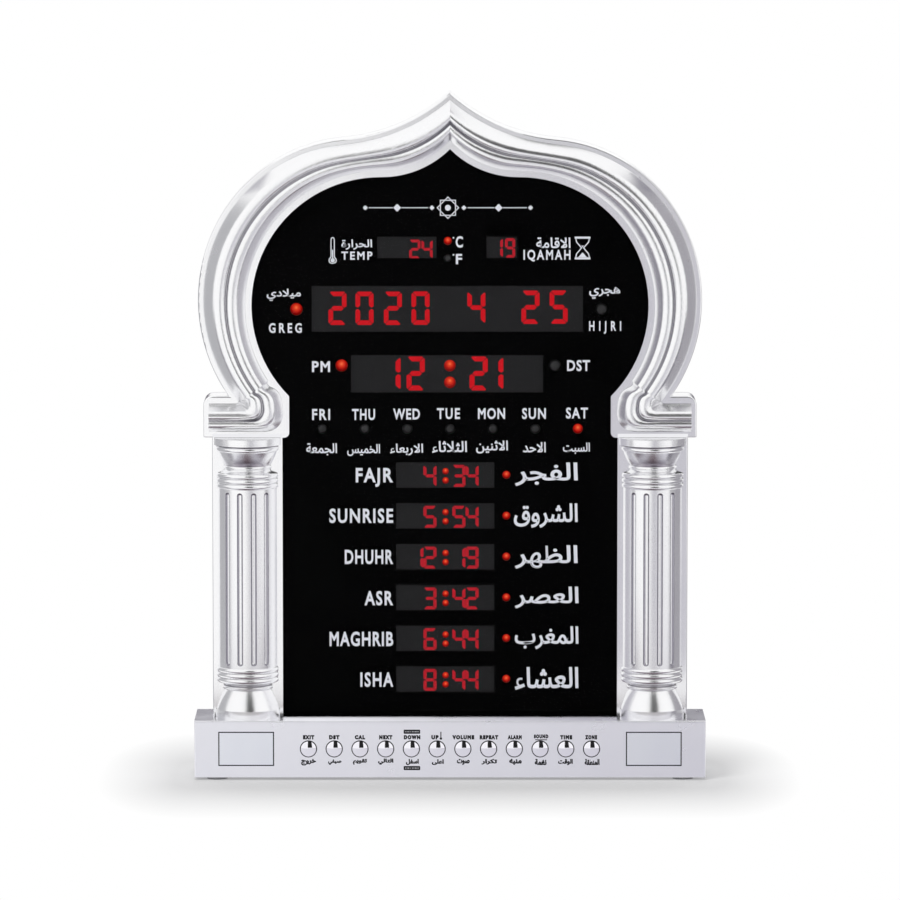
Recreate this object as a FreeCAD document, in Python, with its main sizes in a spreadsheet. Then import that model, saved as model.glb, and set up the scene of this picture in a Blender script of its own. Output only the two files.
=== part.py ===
import FreeCAD
import Part
import math
import os
import Sketcher

# Table clock shaped like a prayer niche: an ogee arch carried by two fluted half columns on a plinth
# with twelve keys. Millimetres. X runs to the clock's right as it is seen from the front, Y runs from
# the front to the back, Z runs up. The origin is on the ground under the middle of the clock.

SIZES = [
    # alias, value, meaning
    ("foot_high", 1.5, "rubber foot, part that shows under the plinth"),
    ("foot_r", 6.0, "rubber foot, radius"),
    ("foot_inset", 13.0, "rubber foot, centre in from the plinth's ends"),
    ("foot_inset_deep", 9.0, "rubber foot, centre in from the plinth's front and back"),
    ("plinth_wide", 298.0, "plinth, side to side"),
    ("plinth_deep", 48.5, "plinth, front to back"),
    ("plinth_high", 33.5, "plinth, height"),
    ("plinth_front", -23.5, "plinth, front face in Y"),
    ("plinth_wall", 2.5, "plinth, wall"),
    ("plinth_round", 0.8, "plinth, rounding of the front edges"),
    ("plinth_lid", 2.5, "plinth back cover, thickness"),
    ("post_sink", 0.5, "plinth corner posts, depth sunk in the walls"),
    ("lid_sunk", 1.5, "plinth back cover, depth behind the back edge"),
    ("lid_gap", 0.1, "plinth back cover, gap all round"),
    ("plate_wide", 31.2, "trim plate on the plinth, width"),
    ("plate_high", 18.8, "trim plate, height"),
    ("plate_thick", 1.0, "trim plate, thickness"),
    ("plate_gap", 0.45, "trim plate, gap all round"),
    ("plate_in", 30.2, "trim plate, centre in from the plinth's end"),
    ("key_pitch", 15.0, "keys, centre to centre"),
    ("key_up", 17.0, "keys, centre above the plinth's bottom"),
    ("key_r", 4.45, "key cap, radius"),
    ("key_gap", 0.3, "key cap, gap in its hole"),
    ("key_proud", 0.4, "key cap, rim in front of the plinth"),
    ("key_dome", 1.1, "key cap, height of the dome over the rim"),
    ("key_travel", 0.8, "key, stroke"),
    ("key_spare", 0.05, "key, gap left at the end of its stroke"),
    ("collar_r", 5.7, "key collar behind the wall, radius"),
    ("collar_thick", 1.0, "key collar, thickness"),
    ("collar_gap", 0.1, "key collar, gap behind the wall"),
    ("stem_r", 2.0, "key stem, radius"),
    ("stem_long", 2.8, "key stem, length behind the collar"),
    ("dome_r", 2.8, "rubber key dome, radius"),
    ("dome_high", 2.3, "rubber key dome, height over the mat"),
    ("mat_thick", 1.0, "rubber key mat, thickness"),
    ("mat_gap", 0.2, "rubber key mat, gap to the posts above and below"),
    ("mat_over", 5.6, "rubber key mat, length beyond the last key's centre"),
    ("board_thick", 1.6, "circuit boards, thickness"),
    ("key_board_high", 23.0, "key board, height"),
    ("key_board_over", 20.0, "key board, length beyond the last key's centre"),
    ("key_board_edge", 1.0, "key board, edge beyond the posts"),
    ("key_board_bite", 4.0, "key board screws, length in the post"),
    ("post_r", 3.5, "screw posts, radius"),
    ("pilot_r", 1.3, "screw posts, pilot hole radius"),
    ("screw_r", 1.25, "small screws, shank radius in a clearance hole"),
    ("screw_head_r", 2.4, "small screws, head radius"),
    ("screw_head", 1.4, "small screws, head height"),
    ("screw_bite", 6.0, "small screws, length in the post"),
    ("pilot_spare", 1.0, "pilot holes, depth beyond the screw's end"),
    ("base_bite", 4.5, "base screws, length above the plinth's top"),
    ("base_post_high", 8.0, "base screw posts in the arch, top over the plinth"),
    ("screw_slack", 0.3, "clearance hole, added to the shank radius"),
    ("face_back", 17.0, "arch front plane, behind the plinth's front face"),
    ("face_thick", 2.5, "front frame, face wall"),
    ("skirt_wall", 2.4, "front frame, side wall"),
    ("body_deep", 23.5, "front frame, face to back edge"),
    ("cover_thick", 2.5, "back cover, thickness"),
    ("frame_round", 0.8, "front frame, rounding of the outer front edge"),
    ("leg_in", 97.7, "opening between the legs, half width"),
    ("leg_wide", 40.9, "leg plate behind a column, width"),
    ("leg_high", 164.1, "leg plate, height over the plinth"),
    ("ledge_out", 5.0, "arch foot, beyond the leg on the outside"),
    ("ledge_in", 4.0, "arch foot, beyond the leg on the inside"),
    ("ledge_high", 24.2, "arch foot, height"),
    ("ledge_round", 5.0, "arch foot, radius of the outer upper corner"),
    ("ledge_round_in", 3.0, "arch foot, radius of the corner over the face sheet"),
    ("arch_out", 43.7, "arch centre, inside the leg's inner edge"),
    ("arch_rise", 57.9, "arch centre, over the foot's top"),
    ("arch_r", 92.3, "arch, radius of the shoulder"),
    ("arch_low_r", 98.3, "arch, radius below the shoulder"),
    ("arch_low_turn", 16.3, "arch, angle where the lower radius takes over"),
    ("ogee_r", 106.0, "arch, radius of the hollow rise to the point"),
    ("ogee_turn", 85.1, "arch, angle where the hollow rise begins"),
    ("band_side", 30.8, "arch band at the widest place"),
    ("band_top", 22.4, "arch band over the opening's shoulder"),
    ("open_r", 75.0, "opening, radius of the shoulder"),
    ("open_ogee_r", 56.25, "opening, radius of the hollow rise"),
    ("open_turn", 90.4, "opening, angle where the hollow rise begins"),
    ("flange", 3.0, "flat flange outside the moulding"),
    ("rim", 3.7, "flat rim inside the moulding"),
    ("mould_bead", 11.5, "moulding, height of the outer bead"),
    ("mould_bead_in", 10.6, "moulding, height of the inner bead"),
    ("mould_edge", 0.8, "moulding, upright step at both edges"),
    ("mould_foot_end", 3.3, "moulding foot, end in from the frame's foot"),
    ("mould_foot_low", 3.5, "moulding foot, lower edge over the frame's foot"),
    ("mould_foot_top", 4.3, "moulding foot, upper edge under the frame's foot"),
    ("mould_turn_r", 10.0, "moulding foot, radius of the inner lower corner"),
    ("mould_neck_r", 1.2, "moulding foot, radius of the sharp inner corner"),
    ("panel_thick", 2.0, "face sheet, thickness"),
    ("panel_lap", 3.0, "face sheet, lap behind the frame"),
    ("panel_gap", 0.2, "face sheet, gap in its seat"),
    ("mask_thick", 0.5, "black mask behind the face sheet, thickness"),
    ("column_back", 2.5, "column axis, behind the arch front plane"),
    ("column_wall", 2.5, "column, wall"),
    ("column_floor", 5.0, "column, solid foot and head"),
    ("shaft_r", 17.3, "column shaft, radius"),
    ("ridge_r", 18.2, "column ridges, radius"),
    ("neck_r", 13.6, "column necks, radius"),
    ("bead_r", 14.3, "column thin rings, radius"),
    ("base_r", 18.9, "column bottom band, radius"),
    ("base_lip", 0.5, "column bottom band, step at its top"),
    ("torus_r", 18.4, "column upper ring, radius"),
    ("abacus_r", 19.6, "column top slab, radius"),
    ("base_high", 4.9, "column bottom band, height"),
    ("bell_high", 12.0, "column bell, height"),
    ("bell_swell", 0.45, "column bell, swell of its side"),
    ("ring_high", 1.9, "column lower thin ring, height"),
    ("ring_swell", 0.6, "column lower thin ring, swell of its side"),
    ("neck_high", 2.0, "column necks, height"),
    ("neck_hollow", 0.6, "column necks, hollow of their sides"),
    ("ridge_high", 3.0, "column ridges, height of each"),
    ("astragal_high", 2.4, "column upper thin ring, height"),
    ("cone_high", 8.0, "column cone, height"),
    ("cone_swell", 0.3, "column cone, swell of its side"),
    ("torus_high", 3.4, "column upper ring, height"),
    ("abacus_high", 4.0, "column top slab, height"),
    ("abacus_slope", 0.5, "column top slab, height of its sloping underside"),
    ("flute_wide_r", 1.8, "column flutes, cutter radius"),
    ("flute_deep", 1.4, "column flutes, depth"),
    ("flute_pitch", 27.2, "column flutes, angle between two"),
    ("flute_end", 1.7, "column flutes, distance from the ridges"),
    ("module_deep", 8.0, "display modules, depth"),
    ("module_lap", 1.0, "display modules, lap behind the mask"),
    ("date_wide", 158.0, "date window, width"),
    ("date_high", 26.9, "date window, height"),
    ("date_up", 239.1, "date window, centre over the plinth"),
    ("date_side", -1.6, "date window, centre in X"),
    ("time_wide", 112.0, "time window, width"),
    ("time_high", 22.0, "time window, height"),
    ("time_up", 201.1, "time window, centre over the plinth"),
    ("time_side", -1.7, "time window, centre in X"),
    ("temp_wide", 34.6, "temperature window, width"),
    ("temp_side", -25.1, "temperature window, centre in X"),
    ("small_high", 12.6, "temperature and second window, height"),
    ("small_up", 274.9, "temperature and second window, centre over the plinth"),
    ("count_wide", 17.7, "second small window, width"),
    ("count_side", 30.1, "second small window, centre in X"),
    ("row_wide", 57.4, "prayer windows, width"),
    ("row_high", 15.1, "prayer windows, height"),
    ("row_side", -2.8, "prayer windows, centre in X"),
    ("row_up", 21.6, "lowest prayer window, centre over the plinth"),
    ("row_pitch", 24.03, "prayer windows, centre to centre"),
    ("row_led_side", 32.9, "prayer lamps, centre in X"),
    ("lamp_big_r", 3.6, "large lamps, radius"),
    ("lamp_mid_r", 2.9, "weekday lamps, radius"),
    ("lamp_small_r", 2.35, "small lamps, radius"),
    ("lamp_gap", 0.1, "lamps, gap in the mask"),
    ("day_pitch", 24.85, "weekday lamps, centre to centre"),
    ("day_up", 168.8, "weekday lamps, centre over the plinth"),
    ("greg_side", 89.5, "left calendar lamp, distance from the middle"),
    ("hijri_side", 88.2, "right calendar lamp, distance from the middle"),
    ("calendar_up", 238.7, "calendar lamps, centre over the plinth"),
    ("half_side", 63.2, "left lamp beside the time, distance from the middle"),
    ("summer_side", 61.2, "right lamp beside the time, distance from the middle"),
    ("half_up", 205.8, "lamps beside the time, centre over the plinth"),
    ("unit_side", -1.3, "unit lamps, centre in X"),
    ("unit_up", 278.6, "upper unit lamp, centre over the plinth"),
    ("unit_pitch", 10.0, "unit lamps, one above the other"),
    ("board_half", 95.0, "display board, half width"),
    ("board_low", 7.0, "display board, lower edge over the plinth"),
    ("board_top", 288.0, "display board, upper edge over the plinth"),
    ("board_post_side", 86.0, "display board posts, distance from the middle"),
    ("board_post_low", 34.0, "lowest board posts, over the plinth"),
    ("board_post_pitch", 113.0, "board posts, one above the other"),
    ("main_wide", 110.0, "main board, width"),
    ("main_high", 70.0, "main board, height"),
    ("main_up", 130.0, "main board, centre over the plinth"),
    ("header_high", 2.6, "pin headers between the boards"),
    ("header_wide", 5.0, "pin headers, width"),
    ("header_long", 50.8, "pin headers, length"),
    ("chip_wide", 14.0, "processor, side"),
    ("chip_high", 1.4, "chips, height"),
    ("memory_wide", 8.4, "memory chip, width"),
    ("memory_high", 11.2, "memory chip, length"),
    ("memory_side", 33.6, "memory chip, distance from the middle"),
    ("timer_wide", 5.6, "clock chip, width"),
    ("timer_high", 8.4, "clock chip, length"),
    ("cell_r", 10.0, "backup cell, radius"),
    ("cell_thick", 1.6, "backup cell, thickness"),
    ("cell_gap", 0.1, "backup cell, gap in its holder"),
    ("cell_side", 26.0, "backup cell, centre in X"),
    ("cell_down", 5.0, "backup cell, centre below the main board's middle"),
    ("holder_wall", 1.2, "backup cell holder, wall"),
    ("holder_floor", 0.6, "backup cell holder, floor"),
    ("speaker_r", 18.0, "loudspeaker, basket radius"),
    ("speaker_up", 308.5, "loudspeaker, centre over the plinth"),
    ("speaker_rim", 1.2, "loudspeaker, rim thickness"),
    ("speaker_rim_wide", 2.0, "loudspeaker, rim width"),
    ("speaker_deep", 7.5, "loudspeaker, basket depth behind its rim"),
    ("speaker_back_r", 11.0, "loudspeaker, basket radius at the magnet"),
    ("speaker_wall", 0.8, "loudspeaker, basket wall"),
    ("magnet_r", 9.5, "loudspeaker magnet, radius"),
    ("magnet_thick", 4.0, "loudspeaker magnet, thickness"),
    ("cone_cap_r", 5.0, "loudspeaker cone, radius of the middle cap"),
    ("cone_gap", 0.1, "loudspeaker cone, gap inside the basket"),
    ("grille_r", 1.4, "speaker grille holes, radius"),
    ("grille_pitch", 4.8, "speaker grille holes, ring to ring"),
    ("key_hole_r", 4.5, "wall hole, radius of the round part"),
    ("key_slot_r", 2.0, "wall hole, half width of the slot"),
    ("key_slot_up", 9.0, "wall hole, slot end over the round part"),
    ("key_hole_side", 60.0, "wall holes, distance from the middle"),
    ("key_hole_up", 262.0, "wall holes, over the plinth"),
    ("boss_leg_side", 13.0, "cover posts in the legs, in from the leg's outer edge"),
    ("boss_leg_low", 22.0, "lower cover posts, over the plinth"),
    ("boss_leg_top", 134.0, "upper cover posts in the legs, over the plinth"),
    ("boss_top_side", 40.0, "cover posts in the arch, distance from the middle"),
    ("boss_apex_down", 19.0, "cover post under the point, down from the point"),
    ("column_screw_low", 45.0, "lower column screw, over the plinth"),
    ("column_screw_top", 118.0, "upper column screw, over the plinth"),
    ("jack_side", 100.0, "power socket, centre in X"),
    ("jack_r", 3.9, "power socket, barrel radius"),
    ("jack_gap", 0.05, "power socket, gap in the plinth cover"),
    ("jack_flange_r", 5.5, "power socket, flange radius"),
    ("jack_long", 12.0, "power socket, barrel length"),
    ("jack_bore_r", 2.85, "power socket, bore radius"),
    ("jack_bore_long", 9.5, "power socket, bore depth"),
    ("jack_pin_r", 1.0, "power socket, pin radius"),
    ("jack_pin_sunk", 1.0, "power socket, pin end below the mouth"),
    ("ribbon_wide", 16.0, "ribbon cable, width"),
    ("ribbon_thick", 0.8, "ribbon cable, thickness"),
    ("ribbon_slot", 1.2, "ribbon cable slot, gap all round"),
    ("ribbon_up", 24.0, "ribbon cable, end over the plinth"),
]

KEYS = 12
WEEKDAYS = 7
PRAYERS = 6
LIT_WEEKDAY = 6
FLUTES = 4

document = FreeCAD.newDocument("NicheClock")
sheet = document.addObject("Spreadsheet::Sheet", "Sizes")
for row, (alias, value, meaning) in enumerate(SIZES, start=1):
    sheet.set(f"A{row}", meaning)
    sheet.set(f"B{row}", str(value))
    sheet.setAlias(f"B{row}", alias)
document.recompute()


# ---- Lengths that know their place in the sheet ----

class Size:
    """A length with the sheet expression that gives it."""

    def __init__(self, number, text):
        self.number = float(number)
        self.text = text

    def __add__(self, other):
        other = as_size(other)
        return Size(self.number + other.number, f"({self.text} + {other.text})")

    def __sub__(self, other):
        other = as_size(other)
        return Size(self.number - other.number, f"({self.text} - {other.text})")

    def __mul__(self, other):
        other = as_size(other)
        return Size(self.number * other.number, f"({self.text} * {other.text})")

    def __truediv__(self, other):
        other = as_size(other)
        return Size(self.number / other.number, f"({self.text} / {other.text})")

    def __neg__(self):
        return Size(-self.number, f"(-1 * {self.text})")


def as_size(value):
    if isinstance(value, Size):
        return value
    return Size(value, repr(float(value)))


def read(alias):
    """The sheet's value of one alias, as a length that can be bound."""
    return Size(sheet.get(alias), f"Sizes.{alias}")


def root(value):
    return Size(math.sqrt(value.number), f"sqrt({value.text})")


def cosine(angle):
    return Size(math.cos(math.radians(angle.number)), f"cos({angle.text})")


def sine(angle):
    return Size(math.sin(math.radians(angle.number)), f"sin({angle.text})")


def bind(thing, name, size):
    """Binds one property of an object to the sheet."""
    size = as_size(size)
    setattr(thing, name, size.number)
    if "Sizes." in size.text:
        thing.setExpression(name, size.text)


S = {alias: read(alias) for alias, _, _ in SIZES}


# ---- Closed outlines and how they are drawn in a sketch ----

class Arc:
    """A round stretch between two points of a path, shorter than half a circle."""

    def __init__(self, radius, centre):
        self.radius = as_size(radius)
        self.centre = (as_size(centre[0]), as_size(centre[1]))


class Ring:
    """A full circle."""

    def __init__(self, across, up, radius):
        self.across = as_size(across)
        self.up = as_size(up)
        self.radius = as_size(radius)


def box(across, up, wide, high):
    """A rectangle about its middle."""
    across, up, wide, high = (as_size(value) for value in (across, up, wide, high))
    left = across - wide / 2
    right = across + wide / 2
    low = up - high / 2
    top = up + high / 2
    return [(left, low), (right, low), (right, top), (left, top)]


def span(left, low, right, top):
    """A rectangle from its corners."""
    return [(left, low), (right, low), (right, top), (left, top)]


def bulge(start, end, rise):
    """The arc from start to end that rises to the right of the way by rise (to the left below 0)."""
    run_x = as_size(end[0]) - start[0]
    run_z = as_size(end[1]) - start[1]
    chord = root(run_x * run_x + run_z * run_z)
    rise = as_size(rise)
    height = rise if rise.number > 0 else -rise
    radius = (chord * chord / 4 + height * height) / (height * 2)
    reach = (rise - radius) if rise.number > 0 else (rise + radius)
    middle_x = as_size(start[0]) + run_x / 2
    middle_z = as_size(start[1]) + run_z / 2
    return Arc(radius, (middle_x + run_z / chord * reach, middle_z - run_x / chord * reach))


def mirrored(half):
    """Closes a path that is drawn for X above 0 with its mirror image."""
    other = []
    for item in reversed(half):
        if isinstance(item, Arc):
            other.append(Arc(item.radius, (-item.centre[0], item.centre[1])))
        else:
            other.append((-as_size(item[0]), as_size(item[1])))
    if as_size(half[-1][0]).number == 0:
        other = other[1:]
    return half + other


def point(place):
    return FreeCAD.Vector(as_size(place[0]).number, as_size(place[1]).number, 0)


def draw_path(sketch, path):
    """Draws a closed path; every point and radius is held by the sheet."""
    points = []
    arcs = {}
    for item in path:
        if isinstance(item, Arc):
            arcs[len(points) - 1] = item
        else:
            points.append((as_size(item[0]), as_size(item[1])))
    pieces = []
    for number, here in enumerate(points):
        there = points[(number + 1) % len(points)]
        start, end = point(here), point(there)
        if number not in arcs:
            pieces.append((sketch.addGeometry(Part.LineSegment(start, end)), 1, 2))
            continue
        centre = point(arcs[number].centre)
        circle = Part.Circle(centre, FreeCAD.Vector(0, 0, 1), arcs[number].radius.number)
        forward = (start - centre).cross(end - centre).z > 0
        first, last = (start, end) if forward else (end, start)
        begin = math.atan2(first.y - centre.y, first.x - centre.x)
        finish = math.atan2(last.y - centre.y, last.x - centre.x)
        if finish <= begin:
            finish += 2 * math.pi
        index = sketch.addGeometry(Part.ArcOfCircle(circle, begin, finish))
        pieces.append((index, 1, 2) if forward else (index, 2, 1))
    held = []
    constraints = []
    for number, (index, start, end) in enumerate(pieces):
        after, after_start, _ = pieces[(number + 1) % len(pieces)]
        constraints.append(Sketcher.Constraint("Coincident", index, end, after, after_start))
        held.append(None)
        for kind, size in zip(("DistanceX", "DistanceY"), points[number]):
            constraints.append(Sketcher.Constraint(kind, -1, 1, index, start, size.number))
            held.append(size)
        if number in arcs:
            constraints.append(Sketcher.Constraint("Radius", index, arcs[number].radius.number))
            held.append(arcs[number].radius)
    hold(sketch, constraints, held)


def draw_ring(sketch, ring):
    centre = FreeCAD.Vector(ring.across.number, ring.up.number, 0)
    circle = Part.Circle(centre, FreeCAD.Vector(0, 0, 1), ring.radius.number)
    index = sketch.addGeometry(circle)
    constraints = [
        Sketcher.Constraint("DistanceX", -1, 1, index, 3, ring.across.number),
        Sketcher.Constraint("DistanceY", -1, 1, index, 3, ring.up.number),
        Sketcher.Constraint("Radius", index, ring.radius.number),
    ]
    hold(sketch, constraints, [ring.across, ring.up, ring.radius])


def hold(sketch, constraints, sizes):
    """Adds the constraints and binds the ones that have a size."""
    first = sketch.ConstraintCount
    sketch.addConstraint(constraints)
    for number, size in enumerate(sizes, start=first):
        if size is not None and "Sizes." in size.text:
            sketch.setExpression(f"Constraints[{number}]", size.text)


# ---- Bodies and their features ----

PLANES = {"X": "YZ_Plane", "Y": "XZ_Plane", "Z": "XY_Plane"}


def new_body(label):
    body = document.addObject("PartDesign::Body", label)
    body.Label = label
    return body


def new_sketch(body, name, plane, offset, loops):
    """A sketch on one of the body's own origin planes; the offset runs along the plane's normal."""
    sketch = body.newObject("Sketcher::SketchObject", f"{body.Label}_{name}_sketch")
    support = next(item for item in body.Origin.OriginFeatures if item.Role == plane)
    sketch.AttachmentSupport = [(support, "")]
    sketch.MapMode = "FlatFace"
    offset = as_size(offset)
    sketch.AttachmentOffset = FreeCAD.Placement(FreeCAD.Vector(0, 0, offset.number), FreeCAD.Rotation())
    if "Sizes." in offset.text:
        sketch.setExpression("AttachmentOffset.Base.z", offset.text)
    for loop in loops:
        if isinstance(loop, Ring):
            draw_ring(sketch, loop)
        else:
            draw_path(sketch, loop)
    return sketch


def slab(body, name, axis, low, high, loops):
    """Pads the loops from low to high along an axis."""
    low, high = as_size(low), as_size(high)
    offset = -high if axis == "Y" else low
    pad = body.newObject("PartDesign::Pad", f"{body.Label}_{name}")
    pad.Profile = new_sketch(body, name, PLANES[axis], offset, loops)
    bind(pad, "Length", high - low)
    body.Tip = pad
    return pad


def cut(body, name, axis, low, high, loops):
    """Pockets the loops out from low to high along an axis."""
    low, high = as_size(low), as_size(high)
    offset = -low if axis == "Y" else high
    pocket = body.newObject("PartDesign::Pocket", f"{body.Label}_{name}")
    pocket.Profile = new_sketch(body, name, PLANES[axis], offset, loops)
    bind(pocket, "Length", high - low)
    body.Tip = pocket
    return pocket


def turn(body, name, plane, path, kind="PartDesign::Revolution"):
    """Turns a path about the sketch's upright axis."""
    feature = body.newObject(kind, f"{body.Label}_{name}")
    sketch = new_sketch(body, name, plane, 0, [path])
    feature.Profile = sketch
    feature.ReferenceAxis = (sketch, ["V_Axis"])
    feature.Angle = 360
    body.Tip = feature
    return feature


def row_of(body, feature, name, count, pitch, direction="H_Axis"):
    """Repeats a feature in a straight row."""
    pattern = body.newObject("PartDesign::LinearPattern", f"{body.Label}_{name}")
    pattern.Originals = [feature]
    pattern.Direction = (feature.Profile[0], [direction])
    pattern.Mode = "Spacing"
    pattern.Occurrences = count
    bind(pattern, "Offset", pitch)
    body.Tip = pattern
    return pattern


def place(thing, across=0, deep=0, up=0):
    """Puts a body at its place."""
    sizes = [as_size(across), as_size(deep), as_size(up)]
    thing.Placement.Base = FreeCAD.Vector(*(size.number for size in sizes))
    for letter, size in zip("xyz", sizes):
        if "Sizes." in size.text:
            thing.setExpression(f"Placement.Base.{letter}", size.text)


CLOSE = 1e-6


def lies_at(deep, floor):
    """Picks the edges that lie in the plane at Y = deep and above Z = floor."""
    def wanted(edge):
        bounds = edge.BoundBox
        return abs(bounds.YMin - deep) < CLOSE and abs(bounds.YMax - deep) < CLOSE and bounds.ZMax > floor + CLOSE
    return wanted


def is_round(edge):
    return isinstance(edge.Curve, Part.Circle)


def round_edges(body, name, radius, wanted):
    """Rounds the edges of the finished shape that wanted picks."""
    document.recompute()
    base = body.Tip
    names = [f"Edge{number}" for number, edge in enumerate(base.Shape.Edges, start=1) if wanted(edge)]
    fillet = body.newObject("PartDesign::Fillet", f"{body.Label}_{name}")
    fillet.Base = (base, names)
    bind(fillet, "Radius", radius)
    body.Tip = fillet


# ---- Places that several pieces share ----

plinth_low = S["foot_high"]
plinth_top = S["foot_high"] + S["plinth_high"]
plinth_half = S["plinth_wide"] / 2
plinth_back = S["plinth_front"] + S["plinth_deep"]
plinth_skin = S["plinth_front"] + S["plinth_wall"]
lid_back = plinth_back - S["lid_sunk"]
lid_front = lid_back - S["plinth_lid"]
key_z = plinth_low + S["key_up"]
first_key = -(S["key_pitch"] * (KEYS - 1) / 2)
collar_front = plinth_skin + S["collar_gap"]
stem_end = collar_front + S["collar_thick"] + S["stem_long"]
dome_front = stem_end + S["key_travel"] + S["key_spare"]
mat_front = dome_front + S["dome_high"]
key_board_front = mat_front + S["mat_thick"]
key_board_back = key_board_front + S["board_thick"]

face_y = S["plinth_front"] + S["face_back"]
plate_y = face_y + S["face_thick"]
panel_back = plate_y + S["panel_thick"]
mask_back = panel_back + S["mask_thick"]
body_back = face_y + S["body_deep"]
cover_back = body_back + S["cover_thick"]
board_front = mask_back + S["module_deep"]
board_back = board_front + S["board_thick"]
main_front = board_back + S["header_high"]
main_back = main_front + S["board_thick"]

leg_out = S["leg_in"] + S["leg_wide"]
leg_mid = S["leg_in"] + S["leg_wide"] / 2
ledge_low_z = plinth_top + S["leg_high"]
ledge_top_z = ledge_low_z + S["ledge_high"]
arch_x = S["leg_in"] - S["arch_out"]
arch_z = ledge_top_z + S["arch_rise"]
arch_low_x = arch_x - (S["arch_low_r"] - S["arch_r"]) * cosine(S["arch_low_turn"])
arch_low_z = arch_z - (S["arch_low_r"] - S["arch_r"]) * sine(S["arch_low_turn"])
ogee_x = arch_x + (S["arch_r"] + S["ogee_r"]) * cosine(S["ogee_turn"])
ogee_z = arch_z + (S["arch_r"] + S["ogee_r"]) * sine(S["ogee_turn"])
open_x = arch_x + S["arch_r"] - S["band_side"] - S["open_r"]
open_z = arch_z + S["arch_r"] - S["band_top"] - S["open_r"]
open_ogee_x = open_x + (S["open_r"] + S["open_ogee_r"]) * cosine(S["open_turn"])
open_ogee_z = open_z + (S["open_r"] + S["open_ogee_r"]) * sine(S["open_turn"])
apex_z = ogee_z - root(S["ogee_r"] * S["ogee_r"] - ogee_x * ogee_x)
column_y = face_y + S["column_back"]
column_foot_y = column_y - (S["shaft_r"] + S["column_back"]) / 2
ribbon_y = (board_back + body_back) / 2


def over(alias):
    """A height that the sheet gives over the plinth's top."""
    return plinth_top + S[alias]


def on_circle(centre_x, centre_z, radius, angle):
    return (centre_x + radius * cosine(angle), centre_z + radius * sine(angle))


def frame_half(inset):
    """The right half of the arch's outer outline from the ground line to the point, moved inwards."""
    upper = S["arch_r"] - inset
    lower = S["arch_low_r"] - inset
    hollow = S["ogee_r"] + inset
    step = ledge_top_z - inset
    drop = arch_low_z - step
    side = leg_out + S["ledge_out"] - inset
    corner = S["ledge_round"] - inset
    return [
        (leg_out - inset, plinth_top + inset),
        (leg_out - inset, ledge_low_z + inset),
        (side, ledge_low_z + inset),
        (side, step - corner),
        Arc(corner, (side - corner, step - corner)),
        (side - corner, step),
        (arch_low_x + root(lower * lower - drop * drop), step),
        Arc(lower, (arch_low_x, arch_low_z)),
        on_circle(arch_x, arch_z, upper, S["arch_low_turn"]),
        Arc(upper, (arch_x, arch_z)),
        on_circle(arch_x, arch_z, upper, S["ogee_turn"]),
        Arc(hollow, (ogee_x, ogee_z)),
        (0, ogee_z - root(hollow * hollow - ogee_x * ogee_x)),
    ]


def opening_top(grow, side):
    """The opening's right half from its side edge up to the point, grown outwards."""
    radius = S["open_r"] + grow
    hollow = S["open_ogee_r"] - grow
    across = side - open_x
    return [
        (side, open_z - root(radius * radius - across * across)),
        Arc(radius, (open_x, open_z)),
        on_circle(open_x, open_z, radius, S["open_turn"]),
        Arc(hollow, (open_ogee_x, open_ogee_z)),
        (0, open_ogee_z - root(hollow * hollow - open_ogee_x * open_ogee_x)),
    ]


def opening():
    """The frame's front opening, with the two steps under the arch feet."""
    inner = S["leg_in"] - S["ledge_in"]
    corner = S["ledge_round_in"]
    steps = [(S["leg_in"], plinth_top), (S["leg_in"], ledge_low_z), (inner + corner, ledge_low_z),
             Arc(corner, (inner + corner, ledge_low_z + corner)), (inner, ledge_low_z + corner)]
    return mirrored(steps + opening_top(as_size(0), inner))


def sheet_outline(grow):
    """The outline of the face sheet and the mask, which lap behind the frame."""
    side = S["leg_in"] + S["panel_lap"] + grow
    return mirrored([(side, plinth_top)] + opening_top(S["panel_lap"] + grow, side))


def cover_posts():
    """Centres of the posts that carry the back cover."""
    inner = leg_out - S["boss_leg_side"]
    band_x = open_x + S["open_r"] + S["band_side"] / 2
    top_z = open_z + S["open_r"] + S["band_top"] / 2 + S["panel_lap"]
    places = [(0, apex_z - S["boss_apex_down"])]
    for side in (-1, 1):
        places.append((inner * side, over("boss_leg_low")))
        places.append((inner * side, over("boss_leg_top")))
        places.append((band_x * side, open_z))
        places.append((S["boss_top_side"] * side, top_z))
    return places


def board_posts():
    """Centres of the posts that carry the display board."""
    places = []
    for side in (-1, 1):
        for level in range(3):
            places.append((S["board_post_side"] * side, over("board_post_low") + S["board_post_pitch"] * level))
    return places


def column_screws(side):
    return [(leg_mid * side, over("column_screw_low")), (leg_mid * side, over("column_screw_top"))]


def rings(places, radius):
    return [Ring(across, up, radius) for across, up in places]


shank_hole = S["screw_r"] + S["screw_slack"]
pilot_deep = S["screw_bite"] + S["pilot_spare"]


# ---- The arch ----

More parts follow.
